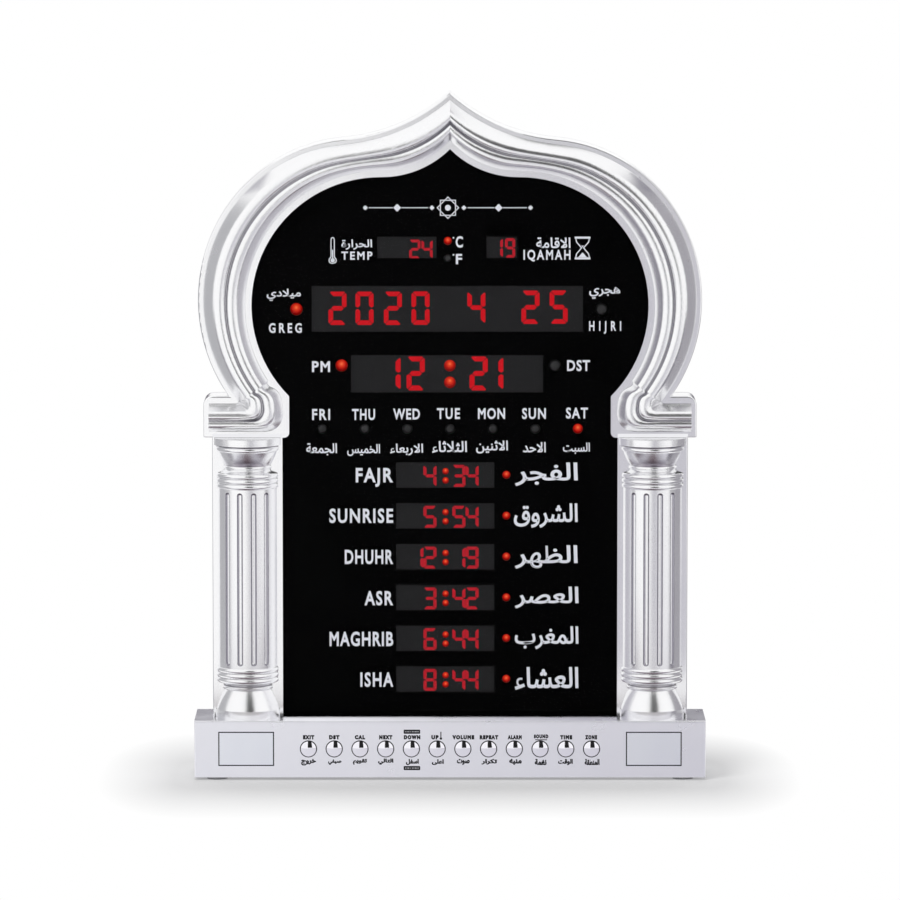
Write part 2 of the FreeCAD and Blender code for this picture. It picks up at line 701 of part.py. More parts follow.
def front_frame():
    body = new_body("front_frame")
    slab(body, "block", "Y", face_y, body_back, [mirrored(frame_half(as_size(0)))])
    front = lies_at(face_y.number, plinth_top.number)
    round_edges(body, "soft_arch", S["frame_round"], lambda edge: front(edge) and is_round(edge))
    round_edges(body, "soft_legs", S["frame_round"],
                lambda edge: front(edge) and not is_round(edge) and edge.BoundBox.ZMin < ledge_low_z.number + 1)
    cut(body, "hollow", "Y", plate_y, body_back, [mirrored(frame_half(S["skirt_wall"]))])
    cut(body, "opening", "Y", face_y, mask_back, [opening()])
    cut(body, "sheet_seat", "Y", plate_y, mask_back, [sheet_outline(S["panel_gap"])])
    slab(body, "posts", "Y", plate_y, body_back, rings(cover_posts(), S["post_r"]))
    cut(body, "pilots", "Y", body_back - pilot_deep, body_back, rings(cover_posts(), S["pilot_r"]))
    holes = column_screws(-1) + column_screws(1)
    cut(body, "column_holes", "Y", face_y, plate_y, rings(holes, shank_hole))
    foot_top = plinth_top + S["base_post_high"]
    slab(body, "foot_posts", "Z", plinth_top + S["skirt_wall"], foot_top, rings(foot_screws(), S["post_r"]))
    cut(body, "foot_pilots", "Z", plinth_top, foot_top, rings(foot_screws(), S["pilot_r"]))
    slot = box(0, ribbon_y, S["ribbon_wide"] + S["ribbon_slot"] * 2, S["ribbon_thick"] + S["ribbon_slot"] * 2)
    cut(body, "ribbon_slot", "Z", plinth_top, plinth_top + S["skirt_wall"], [slot])
    return body


def foot_screws():
    """Screws that hold the arch on the plinth, from below."""
    return [(leg_mid * side, (plate_y + body_back) / 2) for side in (-1, 1)]


class Contour:
    """One edge of the moulding's band as a wire that lines can be crossed with."""

    def __init__(self, edges):
        self.wire = Part.Wire(edges)

    def crossing(self, start, end):
        line = Part.makeLine(start, end)
        return self.wire.distToShape(line)[1][0][0]


def arc_edge(centre, radius, begin, finish):
    """An arc in the XZ plane between two angles in degrees."""
    places = []
    for angle in (begin, (begin + finish) / 2, finish):
        turn_by = math.radians(angle)
        places.append(centre + FreeCAD.Vector(radius * math.cos(turn_by), 0, radius * math.sin(turn_by)))
    return Part.Arc(*places).toShape()


def angle_of(centre, place):
    return math.degrees(math.atan2(place.z - centre.z, place.x - centre.x))


def moulding_contours():
    """Outer and inner edge of the moulding on the right side, and the centre of the sharp corner."""
    number = {alias: size.number for alias, size in S.items()}
    end_x = leg_out.number + number["ledge_out"] - number["mould_foot_end"]
    low_z = ledge_low_z.number + number["mould_foot_low"]
    top_z = ledge_top_z.number - number["mould_foot_top"]
    vector = FreeCAD.Vector
    arch = vector(arch_x.number, 0, arch_z.number)
    arch_low = vector(arch_low_x.number, 0, arch_low_z.number)
    hollow = vector(ogee_x.number, 0, ogee_z.number)
    upper = number["arch_r"] - number["flange"]
    lower = number["arch_low_r"] - number["flange"]
    rise = number["ogee_r"] + number["flange"]
    neck = number["mould_neck_r"]
    pivot_z = top_z + neck
    pivot_x = arch_low.x + math.sqrt((lower + neck) ** 2 - (pivot_z - arch_low.z) ** 2)
    pivot = vector(pivot_x, 0, pivot_z)
    apex = vector(0, 0, hollow.z - math.sqrt(rise ** 2 - hollow.x ** 2))
    meet = angle_of(arch_low, pivot)
    outer = Contour([
        arc_edge(hollow, rise, angle_of(hollow, apex), number["ogee_turn"] - 180),
        arc_edge(arch, upper, number["ogee_turn"], number["arch_low_turn"]),
        arc_edge(arch_low, lower, number["arch_low_turn"], meet),
        arc_edge(pivot, neck, meet + 180, 270),
        Part.makeLine(vector(pivot.x, 0, top_z), vector(end_x, 0, top_z)),
    ])
    shoulder = vector(open_x.number, 0, open_z.number)
    hollow_in = vector(open_ogee_x.number, 0, open_ogee_z.number)
    radius = number["open_r"] + number["rim"]
    rise_in = number["open_ogee_r"] - number["rim"]
    side = number["leg_in"] - number["ledge_in"] + number["rim"]
    apex_in = vector(0, 0, hollow_in.z - math.sqrt(rise_in ** 2 - hollow_in.x ** 2))
    leave_z = shoulder.z - math.sqrt(radius ** 2 - (side - shoulder.x) ** 2)
    round_r = number["mould_turn_r"]
    corner = vector(side + round_r, 0, low_z + round_r)
    inner = Contour([
        arc_edge(hollow_in, rise_in, angle_of(hollow_in, apex_in), number["open_turn"] - 180),
        arc_edge(shoulder, radius, number["open_turn"], angle_of(shoulder, vector(side, 0, leave_z))),
        Part.makeLine(vector(side, 0, leave_z), vector(side, 0, corner.z)),
        arc_edge(corner, round_r, 180, 270),
        Part.makeLine(vector(corner.x, 0, low_z), vector(end_x, 0, low_z)),
    ])
    return outer, inner, shoulder, pivot, end_x


# Where the moulding's sections stand: shares of the way from the middle to the shoulder's centre over
# the opening, then the number of steps down the side and about the sharp corner.
TOP_STATIONS = (0, 0.09, 0.2, 0.34, 0.5, 0.66, 0.83)
SIDE_STEPS = 12
CORNER_STEPS = 9
RAY = 200


def moulding_stations():
    """Pairs of facing points on the moulding's two edges, from the point of the arch to its foot."""
    outer, inner, shoulder, pivot, end_x = moulding_contours()
    far = apex_z.number
    arch = []
    for share in TOP_STATIONS:
        low = FreeCAD.Vector(shoulder.x * share, 0, shoulder.z)
        high = FreeCAD.Vector(shoulder.x * share, 0, far + 1)
        arch.append((outer.crossing(low, high), inner.crossing(low, high)))
    turned = angle_of(shoulder, pivot)
    for step in range(SIDE_STEPS):
        turn_by = math.radians(90 + (turned - 90) * step / SIDE_STEPS)
        end = shoulder + FreeCAD.Vector(math.cos(turn_by), 0, math.sin(turn_by)) * RAY
        arch.append((outer.crossing(shoulder, end), inner.crossing(shoulder, end)))
    corner = []
    reach = sheet.get("mould_neck_r")
    for step in range(CORNER_STEPS + 1):
        turn_by = math.radians(turned + 180 + (90 - turned) * step / CORNER_STEPS)
        way = FreeCAD.Vector(math.cos(turn_by), 0, math.sin(turn_by))
        corner.append((pivot + way * reach, inner.crossing(pivot, pivot + way * RAY)))
    arch.append(corner[0])
    foot = [corner[-1]]
    up, down = foot[0]
    foot.append((FreeCAD.Vector(end_x, 0, up.z), FreeCAD.Vector(end_x, 0, down.z)))
    return arch, corner, foot


# The moulding's section: places from its outer edge (0) to its inner edge (1). Radii and the fall of
# the inner bead are shares of the section's width too. The outer bead runs smoothly into its slope.
SLOPE_END = 0.22
BEAD_MIDDLE = 0.40
BEAD_END = 0.54
BEAD_SLOPE_R = 0.22
BEAD_GROOVE_R = 0.146
BEAD_IN_START = 0.56
BEAD_IN_MIDDLE = 0.70
BEAD_IN_END = 0.86
BEAD_IN_FALL = 0.115


def bead_side(end, radius):
    """Share and fall of a point half way down the outer bead's side, and of its end."""
    reach = end - BEAD_MIDDLE
    half = math.asin(reach / radius) / 2
    middle = (BEAD_MIDDLE + radius * math.sin(half), radius - radius * math.cos(half))
    return middle, (end, radius - math.sqrt(radius ** 2 - reach ** 2))


def moulding_section(outer, inner):
    """The closed section wire of the moulding between two facing points."""
    across = inner - outer
    edge = S["mould_edge"].number
    crest = S["mould_bead"].number
    crest_in = S["mould_bead_in"].number
    shoulder_in = crest_in - across.Length * BEAD_IN_FALL

    def spot(share, height):
        return outer + across * share + FreeCAD.Vector(0, -height, 0)

    def on_bead(place):
        return spot(place[0], crest - across.Length * place[1])

    top = spot(BEAD_MIDDLE, crest)
    rising, shoulder = (on_bead(place) for place in bead_side(SLOPE_END, BEAD_SLOPE_R))
    falling, low = bead_side(BEAD_END, BEAD_GROOVE_R)
    groove = crest - across.Length * low[1]
    bead_in = Part.Arc(spot(BEAD_IN_START, groove), spot(BEAD_IN_MIDDLE, crest_in),
                       spot(BEAD_IN_END, shoulder_in))
    return Part.Wire([
        Part.makeLine(spot(0, 0), spot(0, edge)),
        Part.makeLine(spot(0, edge), shoulder),
        Part.Arc(shoulder, rising, top).toShape(),
        Part.Arc(top, on_bead(falling), on_bead(low)).toShape(),
        Part.makeLine(spot(BEAD_END, groove), spot(BEAD_IN_START, groove)),
        bead_in.toShape(),
        Part.makeLine(spot(BEAD_IN_END, shoulder_in), spot(1, edge)),
        Part.makeLine(spot(1, edge), spot(1, 0)),
        Part.makeLine(spot(1, 0), spot(0, 0)),
    ])


def arch_moulding():
    """Two beads with a groove between them, wider at the sides than at the point and the feet.
    Part's loft suits the changing width; the two halves meet in a mitre under the point."""
    lofts = []
    for run in moulding_stations():
        wires = [moulding_section(outer, inner) for outer, inner in run]
        lofts.append(Part.makeLoft(wires, True, len(run) == 2))
    right = lofts[0].fuse(lofts[1:])
    left = right.mirror(FreeCAD.Vector(0, 0, 0), FreeCAD.Vector(1, 0, 0))
    feature = document.addObject("Part::Feature", "arch_moulding")
    feature.Label = "arch_moulding"
    whole = right.fuse(left)
    feature.Shape = whole.Solids[0] if len(whole.Solids) == 1 else whole
    place(feature, 0, face_y, 0)
    return feature


# ---- The columns ----

def column_path():
    """Outline of a column from its foot to its head, turned about its own axis."""
    shaft, ridge, neck = S["shaft_r"], S["ridge_r"], S["neck_r"]
    path = [(0, 0), (S["base_r"], 0), (S["base_r"], S["base_high"])]
    level = S["base_high"]
    lip = S["base_r"] - S["base_lip"]
    path.append((lip, level))
    path.append(bulge((lip, level), (neck, level + S["bell_high"]), S["bell_swell"]))
    level = level + S["bell_high"]
    path.append((neck, level))
    path.append((S["bead_r"], level))
    path.append(bulge((S["bead_r"], level), (S["bead_r"], level + S["ring_high"]), S["ring_swell"]))
    level = level + S["ring_high"]
    path.append((S["bead_r"], level))
    path.append((neck, level))
    path.append(bulge((neck, level), (shaft, level + S["neck_high"]), -S["neck_hollow"]))
    level = level + S["neck_high"]
    path.append((shaft, level))
    for _ in range(3):
        path.append(bulge((shaft, level), (shaft, level + S["ridge_high"]), ridge - shaft))
        level = level + S["ridge_high"]
        path.append((shaft, level))
    level = capital_low()
    path.append((shaft, level))
    for _ in range(3):
        path.append(bulge((shaft, level), (shaft, level + S["ridge_high"]), ridge - shaft))
        level = level + S["ridge_high"]
        path.append((shaft, level))
    path.append(bulge((shaft, level), (neck, level + S["neck_high"]), -S["neck_hollow"]))
    level = level + S["neck_high"]
    path.append((neck, level))
    path.append(bulge((neck, level), (neck, level + S["astragal_high"]), S["bead_r"] - neck))
    level = level + S["astragal_high"]
    path.append((neck, level))
    path.append(bulge((neck, level), (shaft, level + S["cone_high"]), S["cone_swell"]))
    level = level + S["cone_high"]
    path.append((shaft, level))
    path.append(bulge((shaft, level), (shaft, level + S["torus_high"]), S["torus_r"] - shaft))
    level = level + S["torus_high"]
    path.append((shaft, level))
    path.append((S["abacus_r"], S["leg_high"] - S["abacus_high"]))
    path.append((S["abacus_r"], S["leg_high"]))
    path.append((0, S["leg_high"]))
    return path


def shaft_low():
    base = S["base_high"] + S["bell_high"] + S["ring_high"] + S["neck_high"]
    return base + S["ridge_high"] * 3


def capital_low():
    head = S["ridge_high"] * 3 + S["neck_high"] + S["astragal_high"] + S["cone_high"] + S["torus_high"]
    return S["leg_high"] - S["abacus_high"] - S["abacus_slope"] - head


def column(label, side):
    """A half column, hollow, open at the back where it lies on the leg plate."""
    body = new_body(label)
    turn(body, "turned", "XZ_Plane", column_path())
    low = shaft_low() + S["flute_end"]
    top = capital_low() - S["flute_end"]
    cutter = S["flute_wide_r"]
    axis = S["shaft_r"] - S["flute_deep"] + cutter
    flute = body.newObject("PartDesign::Groove", f"{label}_flute")
    path = [(axis, low), Arc(cutter, (axis, low + cutter)), (axis - cutter, low + cutter),
            (axis - cutter, top - cutter), Arc(cutter, (axis, top - cutter)), (axis, top)]
    sketch = new_sketch(body, "flute", "XZ_Plane", 0, [path])
    last = S["flute_pitch"] * (FLUTES - 1) / 2
    spin = FreeCAD.Rotation(FreeCAD.Vector(0, -1, 0), 90 - last.number)
    sketch.AttachmentOffset = FreeCAD.Placement(FreeCAD.Vector(0, 0, 0), spin)
    sketch.setExpression("AttachmentOffset.Rotation.Angle", f"90 - {last.text}")
    line = Part.LineSegment(FreeCAD.Vector(axis.number, 0, 0), FreeCAD.Vector(axis.number, low.number, 0))
    index = sketch.addGeometry(line, True)
    hold(sketch, [
        Sketcher.Constraint("Vertical", index),
        Sketcher.Constraint("DistanceX", -1, 1, index, 1, axis.number),
        Sketcher.Constraint("DistanceY", -1, 1, index, 1, 0.0),
        Sketcher.Constraint("DistanceY", index, 1, index, 2, low.number),
    ], [None, axis, None, low])
    flute.Profile = sketch
    flute.ReferenceAxis = (sketch, ["Axis0"])
    flute.Angle = 360
    pattern = body.newObject("PartDesign::PolarPattern", f"{label}_flutes")
    pattern.Originals = [flute]
    upright = next(item for item in body.Origin.OriginFeatures if item.Role == "Z_Axis")
    pattern.Axis = (upright, [""])
    pattern.Reversed = True
    pattern.Mode = "Spacing"
    pattern.Occurrences = FLUTES
    bind(pattern, "Offset", S["flute_pitch"])
    body.Tip = pattern
    core = S["neck_r"] - S["column_wall"]
    hollow = span(0, S["column_floor"], core, S["leg_high"] - S["column_floor"])
    turn(body, "hollow", "XZ_Plane", hollow, "PartDesign::Groove")
    back = -S["column_back"]
    rear_half = box(0, S["leg_high"] / 2, S["abacus_r"] * 3, S["leg_high"] + S["abacus_r"])
    cut(body, "flat_back", "Y", back, back + S["abacus_r"] * 2, [rear_half])
    levels = [(0, S["column_screw_low"]), (0, S["column_screw_top"])]
    slab(body, "bosses", "Y", -S["neck_r"], back, rings(levels, S["post_r"]))
    cut(body, "pilots", "Y", back - pilot_deep, back, rings(levels, S["pilot_r"]))
    foot = [(0, column_foot_y - column_y)]
    cut(body, "foot_pilot", "Z", 0, S["column_floor"], rings(foot, S["pilot_r"]))
    place(body, leg_mid * side, column_y, plinth_top)
    return body


# ---- The plinth ----

def lid_posts():
    """Centres of the corner posts behind the plinth's front wall."""
    inset = S["plinth_wall"] + S["post_r"] - S["post_sink"]
    low, top = plinth_low + inset, plinth_top - inset
    return [((plinth_half - inset) * side, level) for side in (-1, 1) for level in (low, top)]


def key_board_posts():
    edge = S["key_pitch"] * (KEYS - 1) / 2 + S["key_board_over"] - S["post_r"] - S["key_board_edge"]
    rise = S["key_board_high"] / 2 - S["post_r"]
    return [(edge * side, key_z + rise * level) for side in (-1, 0, 1) for level in (-1, 1)]


def plinth():
    body = new_body("plinth")
    slab(body, "block", "Y", S["plinth_front"], plinth_back, [span(-plinth_half, plinth_low, plinth_half, plinth_top)])
    round_edges(body, "soft_edge", S["plinth_round"], lies_at(S["plinth_front"].number, 0))
    inner = S["plinth_wall"]
    hollow = span(-(plinth_half - inner), plinth_low + inner, plinth_half - inner, plinth_top - inner)
    cut(body, "hollow", "Y", plinth_skin, plinth_back, [hollow])
    plates = [box((plinth_half - S["plate_in"]) * side, key_z, S["plate_wide"] + S["plate_gap"] * 2,
                  S["plate_high"] + S["plate_gap"] * 2) for side in (-1, 1)]
    cut(body, "plate_seats", "Y", S["plinth_front"], S["plinth_front"] + S["plate_thick"], plates)
    hole = cut(body, "key_hole", "Y", S["plinth_front"], plinth_skin,
               [Ring(first_key, key_z, S["key_r"] + S["key_gap"])])
    row_of(body, hole, "key_holes", KEYS, S["key_pitch"])
    slab(body, "lid_posts", "Y", plinth_skin, lid_front, rings(lid_posts(), S["post_r"]))
    cut(body, "lid_pilots", "Y", lid_front - pilot_deep, lid_front, rings(lid_posts(), S["pilot_r"]))
    slab(body, "board_posts", "Y", plinth_skin, key_board_front, rings(key_board_posts(), S["post_r"]))
    bite = S["key_board_bite"] + S["pilot_spare"]
    cut(body, "board_pilots", "Y", key_board_front - bite, key_board_front, rings(key_board_posts(), S["pilot_r"]))
    tops = foot_screws() + [(leg_mid * side, column_foot_y) for side in (-1, 1)]
    cut(body, "top_holes", "Z", plinth_top - inner, plinth_top, rings(tops, shank_hole))
    slot = box(0, ribbon_y, S["ribbon_wide"] + S["ribbon_slot"] * 2, S["ribbon_thick"] + S["ribbon_slot"] * 2)
    cut(body, "ribbon_slot", "Z", plinth_top - inner, plinth_top, [slot])
    return body


def trim_plate(label, side):
    """A thin plate set flush into the plinth's front."""
    body = new_body(label)
    outline = box((plinth_half - S["plate_in"]) * side, key_z, S["plate_wide"], S["plate_high"])
    slab(body, "plate", "Y", S["plinth_front"], S["plinth_front"] + S["plate_thick"], [outline])
    return body


def plinth_cover():
    """Closes the plinth's back and carries the power socket."""
    body = new_body("plinth_cover")
    inset = S["plinth_wall"] + S["lid_gap"]
    outline = span(-(plinth_half - inset), plinth_low + inset, plinth_half - inset, plinth_top - inset)
    slab(body, "plate", "Y", lid_front, lid_back, [outline])
    holes = rings(lid_posts(), shank_hole) + [Ring(S["jack_side"], key_z, S["jack_r"] + S["jack_gap"])]
    cut(body, "holes", "Y", lid_front, lid_back, holes)
    return body


def power_socket():
    """Round socket for the power lead's plug; its flange lies on the plinth cover."""
    body = new_body("power_socket")
    mouth = S["lid_sunk"]
    floor = mouth - S["jack_bore_long"]
    pin_end = mouth - S["jack_pin_sunk"]
    path = [(0, -S["jack_long"]), (S["jack_r"], -S["jack_long"]), (S["jack_r"], 0), (S["jack_flange_r"], 0),
            (S["jack_flange_r"], mouth), (S["jack_bore_r"], mouth), (S["jack_bore_r"], floor),
            (S["jack_pin_r"], floor), (S["jack_pin_r"], pin_end), (0, pin_end)]
    turn(body, "turned", "XY_Plane", path)
    place(body, S["jack_side"], lid_back, key_z)
    return body


def rubber_feet():
    body = new_body("rubber_feet")
    across = plinth_half - S["foot_inset"]
    front = S["plinth_front"] + S["foot_inset_deep"]
    back = plinth_back - S["foot_inset_deep"]
    places = [(across * side, deep) for side in (-1, 1) for deep in (front, back)]
    slab(body, "pads", "Z", 0, S["foot_high"], rings(places, S["foot_r"]))
    return body


# ---- The keys ----

def key_cap(number):
    """A domed cap in its hole, with the collar that keeps it in and the stem that presses the mat."""
    body = new_body(f"button_{number:02d}")
    top = -(S["key_proud"] + S["key_dome"])
    radius = (S["key_r"] * S["key_r"] + S["key_dome"] * S["key_dome"]) / (S["key_dome"] * 2)
    collar = S["plinth_wall"] + S["collar_gap"]
    stem = collar + S["collar_thick"]
    path = [(0, top), Arc(radius, (0, top + radius)), (S["key_r"], -S["key_proud"]), (S["key_r"], collar),
            (S["collar_r"], collar), (S["collar_r"], stem), (S["stem_r"], stem),
            (S["stem_r"], stem + S["stem_long"]), (0, stem + S["stem_long"])]
    turn(body, "turned", "XY_Plane", path)
    place(body, first_key + S["key_pitch"] * (number - 1), S["plinth_front"], key_z)
    return body


def key_places():
    return [(first_key + S["key_pitch"] * number, key_z) for number in range(KEYS)]


def key_mat():
    """Silicone mat with one spring dome behind each key."""
    body = new_body("key_mat")
    wide = S["key_pitch"] * (KEYS - 1) + S["mat_over"] * 2
    high = S["key_board_high"] - S["post_r"] * 4 - S["mat_gap"] * 2
    slab(body, "sheet", "Y", mat_front, key_board_front, [box(0, key_z, wide, high)])
    slab(body, "domes", "Y", dome_front, mat_front, rings(key_places(), S["dome_r"]))
    return body


def key_board():
    body = new_body("key_board")
    wide = S["key_pitch"] * (KEYS - 1) + S["key_board_over"] * 2
    slab(body, "board", "Y", key_board_front, key_board_back, [box(0, key_z, wide, S["key_board_high"])])
    cut(body, "holes", "Y", key_board_front, key_board_back, rings(key_board_posts(), shank_hole))
    return body


# ---- The face: sheet, mask, displays and lamps ----

def windows(grow):
    """The display windows by name, grown on every side."""
    extra = as_size(grow) * 2
    small = S["small_high"] + extra
    shown = {
        "date_display": [box(S["date_side"], over("date_up"), S["date_wide"] + extra, S["date_high"] + extra)],
        "time_display": [box(S["time_side"], over("time_up"), S["time_wide"] + extra, S["time_high"] + extra)],
        "temperature_display": [box(S["temp_side"], over("small_up"), S["temp_wide"] + extra, small)],
        "countdown_display": [box(S["count_side"], over("small_up"), S["count_wide"] + extra, small)],
    }
    levels = [over("row_up") + S["row_pitch"] * number for number in range(PRAYERS)]
    shown["prayer_displays"] = [box(S["row_side"], level, S["row_wide"] + extra, S["row_high"] + extra)
                                for level in levels]
    return shown


def lamps():
    """Lamps as (across, up, radius): the lit ones and the dark ones."""
    days = [((number - (WEEKDAYS - 1) / 2), over("day_up")) for number in range(WEEKDAYS)]
    days = [(S["day_pitch"] * share, level, S["lamp_mid_r"]) for share, level in days]
    big, small = S["lamp_big_r"], S["lamp_small_r"]
    lit = [
        days[LIT_WEEKDAY],
        (-S["greg_side"], over("calendar_up"), big),
        (-S["half_side"], over("half_up"), big),
        (S["unit_side"], over("unit_up"), small),
    ]
    for number in range(PRAYERS):
        lit.append((S["row_led_side"], over("row_up") + S["row_pitch"] * number, small))
    dark = days[:LIT_WEEKDAY] + days[LIT_WEEKDAY + 1:]
    dark.append((S["hijri_side"], over("calendar_up"), big))
    dark.append((S["summer_side"], over("half_up"), big))
    dark.append((S["unit_side"], over("unit_up") - S["unit_pitch"], small))
    return lit, dark


def face_sheet():
    body = new_body("face_sheet")
    slab(body, "sheet", "Y", plate_y, panel_back, [sheet_outline(as_size(0))])
    return body


def face_mask():
    """Black film behind the face sheet with a window for each display and lamp."""
    body = new_body("face_mask")
    slab(body, "film", "Y", panel_back, mask_back, [sheet_outline(as_size(0))])
    loops = [loop for group in windows(0).values() for loop in group]
    cut(body, "windows", "Y", panel_back, mask_back, loops)
    lit, dark = lamps()
    holes = [Ring(across, up, radius + S["lamp_gap"]) for across, up, radius in lit + dark]
    cut(body, "lamp_holes", "Y", panel_back, mask_back, holes)
    return body


def displays():
    made = []
    for label, loops in windows(S["module_lap"]).items():
        body = new_body(label)
        slab(body, "modules", "Y", mask_back, board_front, loops)
        made.append(body)
    return made


def lamp_group(label, places):
    """Lamps that stand on the display board and reach the face sheet's back."""
    body = new_body(label)
    slab(body, "lamps", "Y", panel_back, board_front, [Ring(*place_of) for place_of in places])
    return body


# ---- The boards behind the face ----

def display_board():
    body = new_body("display_board")
    outline = span(-S["board_half"], over("board_low"), S["board_half"], over("board_top"))
    slab(body, "board", "Y", board_front, board_back, [outline])
    cut(body, "holes", "Y", board_front, board_back, rings(board_posts(), shank_hole))
    return body


def main_board():
    body = new_body("main_board")
    outline = box(0, over("main_up"), S["main_wide"], S["main_high"])
    slab(body, "board", "Y", main_front, main_back, [outline])
    return body


def pin_headers():
    """Two strips of pins that carry the main board on the display board."""
    body = new_body("pin_headers")
    across = S["main_wide"] / 2 - S["header_wide"]
    strips = [box(across * side, over("main_up"), S["header_wide"], S["header_long"]) for side in (-1, 1)]
    slab(body, "strips", "Y", board_back, main_front, strips)
    return body


def main_chips():
    """Processor, memory and clock chips on the back of the main board."""
    body = new_body("main_chips")
    side = S["chip_wide"]
    high = over("main_up") + side / 2
    outlines = [box(-side, high, side, side), box(-S["memory_side"], high, S["memory_wide"], S["memory_high"]),
                box(0, high, S["timer_wide"], S["timer_high"])]
    slab(body, "chips", "Y", main_back, main_back + S["chip_high"], outlines)
    return body


def cell_holder():
    """Round tray for the backup cell."""
    body = new_body("cell_holder")
    centre = (S["cell_side"], over("main_up") - S["cell_down"])
    seat = S["cell_r"] + S["cell_gap"]
    back = main_back + S["holder_floor"] + S["cell_thick"]
    slab(body, "tray", "Y", main_back, back, rings([centre], seat + S["holder_wall"]))
    cut(body, "seat", "Y", main_back + S["holder_floor"], back, rings([centre], seat))
    return body


def backup_cell():
    body = new_body("backup_cell")
    centre = (S["cell_side"], over("main_up") - S["cell_down"])
    front = main_back + S["holder_floor"]
    slab(body, "cell", "Y", front, front + S["cell_thick"], rings([centre], S["cell_r"]))
    return body


def ribbon_cable():
    """Flat cable from the key board up through the plinth's top to the display board."""
    body = new_body("ribbon_cable")
    thick = S["ribbon_thick"]
    near, far = ribbon_y - thick / 2, ribbon_y + thick / 2
    top = over("ribbon_up")
    path = [(key_board_back, key_z), (far, key_z), (far, top), (board_back, top), (board_back, top - thick),
            (near, top - thick), (near, key_z + thick), (key_board_back, key_z + thick)]
    slab(body, "cable", "X", -(S["ribbon_wide"] / 2), S["ribbon_wide"] / 2, [path])
    return body


# ---- The back ----

GRILLE_RINGS = 3
HOLES_IN_FIRST_RING = 6


def grille_places():
    """Three rings of holes about a middle one."""
    places = [(0, over("speaker_up"))]
    for level in range(1, GRILLE_RINGS + 1):
        holes = HOLES_IN_FIRST_RING * level
        for number in range(holes):
            angle = as_size(360 / holes * number)
            places.append(on_circle(as_size(0), over("speaker_up"), S["grille_pitch"] * level, angle))
    return places


def back_cover():
    """Closes the arch's back; carries the display board's posts and hangs the clock on a wall."""
    body = new_body("back_cover")
    slab(body, "plate", "Y", body_back, cover_back, [mirrored(frame_half(as_size(0)))])
    slab(body, "board_posts", "Y", board_back, body_back, rings(board_posts(), S["post_r"]))
    cut(body, "board_pilots", "Y", board_back, board_back + pilot_deep, rings(board_posts(), S["pilot_r"]))
    cut(body, "cover_holes", "Y", body_back, cover_back, rings(cover_posts(), shank_hole))
    cut(body, "grille", "Y", body_back, cover_back, rings(grille_places(), S["grille_r"]))
    round_part = [(S["key_hole_side"] * side, over("key_hole_up")) for side in (-1, 1)]
    cut(body, "wall_holes", "Y", body_back, cover_back, rings(round_part, S["key_hole_r"]))
    slots = []
    for across, up in round_part:
        half = S["key_slot_r"]
        end = up + S["key_slot_up"]
        left, right = (across - half, end), (across + half, end)
        tip = (across, end + half)
        slots.append([(across - half, up), (across + half, up), right, Arc(half, (across, end)), tip,
                      Arc(half, (across, end)), left])
    cut(body, "wall_slots", "Y", body_back, cover_back, slots)
    return body


def speaker_basket():
    body = new_body("speaker_basket")
    inner = S["speaker_r"] - S["speaker_rim_wide"]
    back = -(S["speaker_rim"] + S["speaker_deep"])
    wall = S["speaker_wall"]
    path = [(inner, 0), (S["speaker_r"], 0), (S["speaker_r"], -S["speaker_rim"]), (S["speaker_back_r"], back),
            (0, back), (0, back + wall), (S["speaker_back_r"] - wall, back + wall), (inner, -S["speaker_rim"])]
    turn(body, "turned", "XY_Plane", path)
    place(body, 0, body_back, over("speaker_up"))
    return body


def speaker_cone():
    body = new_body("speaker_cone")
    outer = S["speaker_r"] - S["speaker_rim_wide"] - S["cone_gap"]
    floor = S["speaker_wall"] - (S["speaker_rim"] + S["speaker_deep"])
    thick = S["speaker_rim"] / 2
    path = [(0, floor), (S["cone_cap_r"], floor), (outer, -S["speaker_rim"]), (outer, -thick),
            (S["cone_cap_r"], floor + thick), (0, floor + thick)]
    turn(body, "turned", "XY_Plane", path)
    place(body, 0, body_back, over("speaker_up"))
    return body


def speaker_magnet():
    body = new_body("speaker_magnet")
    back = body_back - S["speaker_rim"] - S["speaker_deep"]
    slab(body, "magnet", "Y", back - S["magnet_thick"], back, [Ring(0, over("speaker_up"), S["magnet_r"])])
    return body


# ---- The screws ----

def screws(label, places, axis, head, shank):
    """A group of equal screws; head and shank are (low, high) along the axis."""
    body = new_body(label)
    slab(body, "heads", axis, head[0], head[1], rings(places, S["screw_head_r"]))
    slab(body, "shanks", axis, shank[0], shank[1], rings(places, S["screw_r"]))
    return body


def all_screws():
    head, bite = S["screw_head"], S["screw_bite"]
    roof = plinth_top - S["plinth_wall"]
    base = foot_screws() + [(leg_mid * side, column_foot_y) for side in (-1, 1)]
    columns = column_screws(-1) + column_screws(1)
    return [
        screws("cover_screws", cover_posts(), "Y", (cover_back, cover_back + head), (body_back - bite, cover_back)),
        screws("board_screws", board_posts(), "Y", (board_front - head, board_front),
               (board_front, board_back + bite)),
        screws("column_screws", columns, "Y", (plate_y, plate_y + head), (face_y - bite, plate_y)),
        screws("base_screws", base, "Z", (roof - head, roof), (roof, plinth_top + S["base_bite"])),
        screws("key_board_screws", key_board_posts(), "Y", (key_board_back, key_board_back + head),
               (key_board_front - S["key_board_bite"], key_board_back)),
        screws("lid_screws", lid_posts(), "Y", (lid_back, lid_back + head), (lid_front - bite, lid_back)),
    ]


# ---- Building, checking and writing ----

